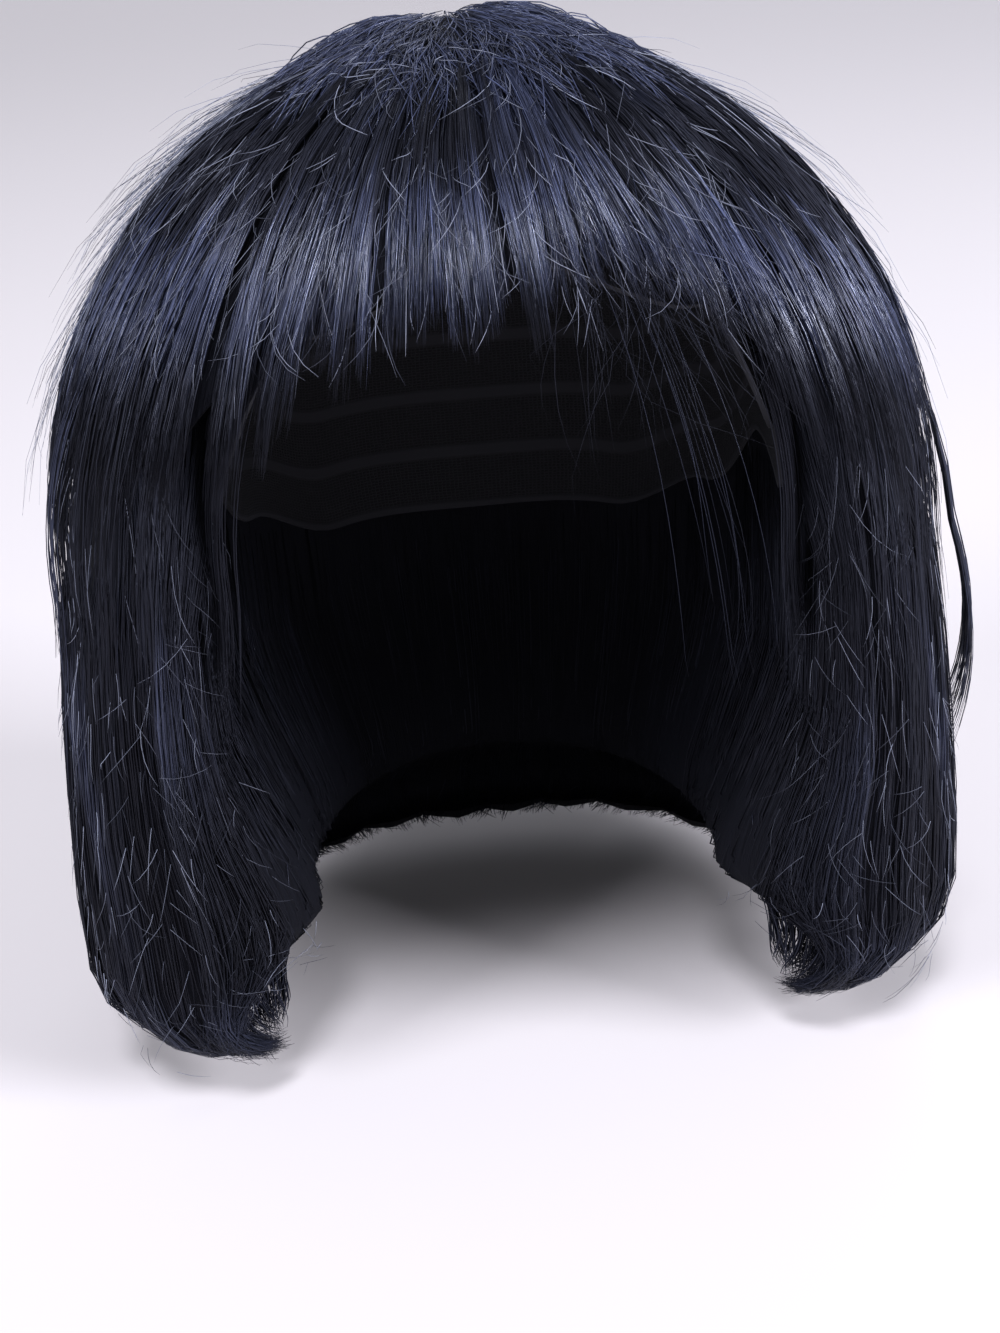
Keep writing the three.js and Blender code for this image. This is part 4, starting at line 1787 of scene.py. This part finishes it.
@dataclass(frozen=True)
class Studio:
    """The camera at the photograph's angle, the pale floor and the soft light."""

    azimuth: float = -4.0
    elevation: float = 24.0
    roll: float = -3.9
    focal_pixels: float = 1700.0
    picture_height: float = 1333.0
    distance: float = 0.488
    target: tuple[float, float, float] = (-0.0007, 0.0, -0.155)
    floor_height: float = -0.262
    floor_size: float = 60.0
    floor_colour: Colour = (0.43, 0.396, 0.374, 1.0)
    floor_roughness: float = 0.7
    lamp_target: tuple[float, float, float] = (0.0, 0.0, -0.1)
    lamp_size: float = 1.1
    lamp_colour: tuple[float, float, float] = (0.83, 0.86, 1.0)
    room_colour: Colour = (0.84, 0.88, 1.0, 1.0)
    room_light: float = 0.42

    def camera(self) -> None:
        """Set the camera: it looks back along (sin a cos e, -cos a cos e, sin e), then rolls."""
        turn, rise, roll = np.radians([self.azimuth, self.elevation, self.roll])
        back = Vector((np.sin(turn) * np.cos(rise), -np.cos(turn) * np.cos(rise), np.sin(rise)))
        right = (-back).cross(Vector((0.0, 0.0, 1.0))).normalized()
        up = right.cross(-back)
        across = right * np.cos(roll) + up * np.sin(roll)
        over = up * np.cos(roll) - right * np.sin(roll)
        data = bpy.data.cameras.new("camera")
        data.sensor_width = 36.0
        data.lens = self.focal_pixels * data.sensor_width / self.picture_height
        data.clip_start = 0.01
        camera = bpy.data.objects.new("camera", data)
        place = Matrix((across, over, back)).transposed().to_4x4()
        place.translation = Vector(self.target) + back * self.distance
        camera.matrix_world = place
        bpy.context.scene.collection.objects.link(camera)
        bpy.context.scene.camera = camera

    def hang(self, data: bpy.types.Light, aim: Vector) -> bpy.types.Object:
        """Add a light that shines along a line.

        Args:
            data: The light.
            aim: The line.

        Returns:
            The object that holds it.
        """
        data.color = self.lamp_colour
        lamp = bpy.data.objects.new(data.name, data)
        lamp.rotation_mode = "QUATERNION"
        lamp.rotation_quaternion = aim.to_track_quat("-Z", "Y")
        bpy.context.scene.collection.objects.link(lamp)
        return lamp

    def lamp(self, name: str, place: tuple[float, float, float], power: float) -> None:
        """Add a soft square lamp that looks at the wig.

        Args:
            name: The lamp's name.
            place: Where it stands, in metres.
            power: Its power in watts.
        """
        data = bpy.data.lights.new(name, "AREA")
        data.size, data.energy = self.lamp_size, power
        self.hang(data, Vector(self.lamp_target) - Vector(place)).location = place

    def floor(self) -> None:
        """Lay a plain pale floor just under the hair's ends."""
        half = self.floor_size / 2 / METRES
        height = self.floor_height / METRES
        corners = np.array([[-half, -half], [half, -half], [half, half], [-half, half]])
        vertices = np.concatenate([corners, np.full((4, 1), height)], axis=1)
        floor = MeshData(vertices, [np.array([[0, 1, 2, 3]])]).build("floor")
        material, shader = blank_material("pale_floor")
        shader.inputs["Base Color"].default_value = self.floor_colour
        shader.inputs["Roughness"].default_value = self.floor_roughness
        floor.data.materials.append(material)

    def sun(self, name: str, place: tuple[float, float, float], power: float, width: float) -> None:
        """Add a soft lamp far away, which lights the floor evenly.

        Args:
            name: The lamp's name.
            place: A point on the line from the wig to the lamp.
            power: Its power in watts a square metre.
            width: How wide it looks, in degrees.
        """
        data = bpy.data.lights.new(name, "SUN")
        data.energy, data.angle = power, np.radians(width)
        self.hang(data, -Vector(place))

    def light(self) -> None:
        """Light the wig from above the front, softly from both sides, and from the room."""
        self.sun("key", (-0.1, -0.42, 1.0), 3.7, 16.0)
        self.lamp("left", (-2.3, -1.3, 1.1), 102.0)
        self.lamp("right", (2.3, -1.3, 1.0), 180.0)
        self.sun("behind", (0.4, 1.0, 0.8), 0.5, 30.0)
        world = bpy.data.worlds.new("room")
        world.use_nodes = True
        sky = world.node_tree.nodes["Background"]
        sky.inputs["Color"].default_value = self.room_colour
        sky.inputs["Strength"].default_value = self.room_light
        bpy.context.scene.world = world
        bpy.context.scene.view_settings.view_transform = "Standard"

    def build(self) -> None:
        """Set up the camera, the floor and the light."""
        self.camera()
        self.floor()
        self.light()


@dataclass
class BobWig:
    """The whole wig."""

    form: HairForm = HairForm()
    hair: HairFinish = HairFinish()
    net: NetFinish = NetFinish()

    def fringe(self) -> UpperLayer:
        """Give the fringe, whose locks are set one by one from the wearer's right.

        Each lock's tip is a share of the fringe's full drop.

        Returns:
            The layer.
        """
        azimuth = np.array([-44, -36.5, -29, -21.5, -13.5, -5.5, 3, 11, 18.5, 26.5, 35, 43.5])
        tip = [0.58, 0.545, 0.45, 0.355, 0.325, 0.31, 0.335, 0.27, 0.275, 0.36, 0.53, 0.59]
        lean = np.array([0, 1, -1, 1.5, 0.5, 2, 1, -1, 2, 2, 1, 0])
        half = self.form.fringe_half_angle
        station = self.form.station_at(-self.form.upper_end.drop * np.array(tip))
        row = LockRow(-half, half, azimuth, station, lean, self.form.tip_run)
        runs = (
            StrandRun(3150, 7, root=(0.2, 0.3), wisps_a_lock=5, gather=0.35, fill=0.6, tousle=1.25),
            StrandRun(130, 9, azimuths=(8.0, 36.0), root=(0.4, 0.52), tip=(0.6, 0.8), gather=0.1,
                      stray=8.0, wisps_a_lock=3, style=StrandStyle(radius=0.07)),
        )
        return UpperLayer("fringe", self.form, row, self.form.crown_station(), runs, seed=21)

    def upper(
        self, name: str, row: LockRow, seed: int, runs: tuple[StrandRun, ...], even: float = 0.5
    ) -> UpperLayer:
        """Give one part of the upper layer behind the fringe.

        Args:
            name: Its solid.
            row: Its locks.
            seed: The seed of its differences.
            runs: Its strands.
            even: How far its body fills the notches.

        Returns:
            The layer.
        """
        root = self.form.crown_station()
        return UpperLayer(name, self.form, row, root, runs, seed, even=even, short=0.03)

    def long(
        self, name: str, row: LockRow, seed: int, runs: tuple[StrandRun, ...]
    ) -> LongLayer:
        """Give one part of the long layer.

        Args:
            name: Its solid.
            row: Its locks.
            seed: The seed of its differences.
            runs: Its strands.

        Returns:
            The layer.
        """
        root = self.form.long_root
        return LongLayer(name, self.form, row, root, runs, seed, rows=48, short=0.02)

    def row(self, line: TipLine, start: float, stop: float, count: int, key: int) -> LockRow:
        """Give a row of so many locks between two azimuths, whose tips follow a line."""
        return LockRow.spread(start, stop, count, key, TipRule(self.form, line))

    def side(self, name: str, start: float, stop: float, key: int, seed: int) -> LongLayer:
        """Give the long hair on one side of the face.

        Args:
            name: Its solid.
            start: The azimuth where it starts.
            stop: The azimuth where it stops.
            key: The key of its locks' differences.
            seed: The seed of its strands' differences.

        Returns:
            The layer.
        """
        front = (start - 1.6, start + 0.4) if start > 0 else (stop - 0.4, stop + 1.6)
        face = StrandRun(440, 9, azimuths=front, root=(0.58, 0.7), tip=(2.5, 2.95),
                         depth=(0.03, 0.5), wisps_a_lock=2, gather=0.3, stray=1.6, wander=1.2,
                         overrun=0.05, tousle=3.0, stacked=True)
        runs = (
            StrandRun(1300, 10, root=(0.6, 0.75), wisps_a_lock=5, gather=0.45, stray=1.4,
                      wander=0.8, tousle=1.7),
            face,
            replace(face, tip=(2.5, 3.0), depth=(0.5, 1.06), wander=1.4, overrun=0.08, hang=1.0,
                    closing=0.5),
            StrandRun(560, 7, root=(0.95, 1.1), tip=(2.6, 2.98), depth=(1.0, 1.0), stray=2.0,
                      wander=0.6, closing=0.5),
            StrandRun(380, 6, root=(1.7, 2.1), tip=(2.85, 3.0), depth=(0.9, 1.0), gather=0.1,
                      stray=2.0, wander=0.8, closing=0.8, style=StrandStyle(radius=0.2)),
            StrandRun.turned_ends(520),
        )
        return self.long(name, self.row(TipLine.LONG, start, stop, 5, key), seed, runs)

    def back(self) -> LongLayer:
        """Give the long hair round the back.

        Returns:
            The layer.
        """
        edge = self.form.side_back
        runs = (
            StrandRun(1050, 11, root=(0.85, 0.95), wisps_a_lock=5, gather=0.45),
            StrandRun(480, 8, root=(1.1, 1.2), tip=(2.3, 2.9), depth=(1.0, 1.0), wisps_a_lock=4),
            StrandRun.turned_ends(1200),
        )
        row = self.row(TipLine.LONG, edge, 360.0 - edge, 10, 17)
        return self.long("back_hair", row, 47, runs)

    def strays(self) -> StrayHairs:
        """Give the stray hairs.

        A row has azimuths, stations, a count, lengths, a height, a turn, a radius and shares.

        Returns:
            The stray hairs.
        """
        patches = (
            Patch((-180.0, 180.0), (0.06, 0.35), 170, (8.0, 22.0), 1.8, 24.0, 0.09),
            Patch((-74.0, 52.0), (0.34, 0.6), 600, (6.0, 19.0), 1.3, 14.0, 0.07),
            Patch((-60.0, -8.0), (0.1, 0.26), 60, (5.0, 14.0), 1.6, 45.0, 0.08),
            Patch((-128.0, -80.0), (0.12, 0.6), 400, (25.0, 60.0), 5.5, 6.0, 0.075),
            Patch((70.0, 128.0), (0.15, 0.7), 220, (24.0, 60.0), 4.5, 7.0, 0.08),
            Patch((-110.0, -60.0), (0.75, 2.4), 220, (7.0, 22.0), 1.4, 24.0, 0.07),
            Patch((60.0, 110.0), (0.75, 2.4), 220, (7.0, 22.0), 1.4, 24.0, 0.07),
            Patch((-58.8, -57.8), (0.8, 2.2), 180, (5.0, 18.0), 1.0, 28.0, 0.06, (0.02, 0.9)),
            Patch((57.8, 58.8), (0.8, 2.2), 180, (5.0, 18.0), 1.0, 28.0, 0.06, (0.02, 0.9)),
            Patch((110.0, 250.0), (0.4, 2.4), 150, turn=24.0, radius=0.1),
        )
        return StrayHairs(self.form, patches, 71)

    def loose(self) -> LooseLocks:
        """Give the loose locks, the strands over the open face and the hair ends beside it.

        A row has azimuths, stations, depths, a count and a width.

        Returns:
            The loose locks.
        """
        before_ear = ((0.7, 1.3), (26.0, 33.0, 35.0), 80, 5.0, 0.8)
        locks = (
            LooseLock((76.0, 78.0, 84.0), (0.8, 1.75), (0.5, -8.0, 0.5), 46, 1.5),
            LooseLock((18.0, 22.0, 25.0), (0.5, 1.05), (0.5, 0.5, 2.0), 12, 6.0, 1.3, 0.08, 0.12),
            LooseLock((54.0, 59.0, 61.0), *before_ear, gloss=0.02),
            LooseLock((-54.0, -59.0, -61.0), *before_ear, gloss=0.02),
            LooseLock((-70.0, -73.0, -74.0), (0.7, 1.2), (0.5, -2.0, -0.5), 12, 5.0),
        )
        ends = tuple(
            LooseLock((69.0 * side, 63.5 * side, 63.0 * side), (1.8, 2.93),
                      (deep, 0.76 * deep, 0.2 * deep), 35, 3.5, radius=0.2, gloss=0.1)
            for side in (-1.0, 1.0)
            for deep in (54.0, 48.0, 42.0, 35.0)
        )
        return LooseLocks(self.form, locks + ends, seed=83)

    def build(self) -> None:
        """Make every piece, have it ride on the wig, and report it."""
        edge, side, back = self.form.fringe_half_angle, self.form.side_front, self.form.side_back
        temple = (
            StrandRun(1250, 7, root=(0.2, 0.32), wisps_a_lock=5, gather=0.35, stray=1.2, tousle=1.5,
                      overrun=0.06),
            StrandRun(200, 8, root=(0.4, 0.55), tip=(0.95, 1.3), gather=0.2, stray=2.0, tousle=1.5),
        )
        nape = StrandRun(1950, 7, root=(0.2, 0.32), wisps_a_lock=5, gather=0.25, stray=1.2,
                         fill=1.0, lift=0.2, overrun=0.18)
        left = self.row(TipLine.UPPER, edge, back, 6, 3)
        right = self.row(TipLine.UPPER, -back, -edge, 6, 5)
        behind = self.row(TipLine.UPPER, back, 360.0 - back, 10, 7)
        layers = (
            CrownTuft(self.form, seed=11),
            self.fringe(),
            self.upper("upper_side_left", left, 23, temple),
            self.upper("upper_side_right", right, 25, temple),
            self.upper("upper_back", behind, 27, (nape,), even=0.85),
            self.side("side_hair_left", side, back, key=11, seed=41),
            self.side("side_hair_right", -back, -side, key=13, seed=43),
            self.back(),
            self.strays(),
            self.loose(),
        )
        for layer in layers:
            self.seat(layer.build(self.hair))
        self.seat(WigCap(self.form).build(self.net))

    def seat(self, pieces: list[bpy.types.Object]) -> None:
        """Have pieces ride on the wig, and log how many triangles each has.

        Args:
            pieces: The pieces.
        """
        for piece in pieces:
            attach(piece, "root")
            triangles = sum(len(face.vertices) - 2 for face in piece.data.polygons)
            log.info("%s: %d triangles", piece.name, triangles)


def main() -> None:
    """Load the frame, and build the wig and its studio."""
    logging.basicConfig(level=logging.INFO, format="%(message)s")
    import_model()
    Studio().build()
    BobWig().build()


if __name__ == "__main__":
    main()
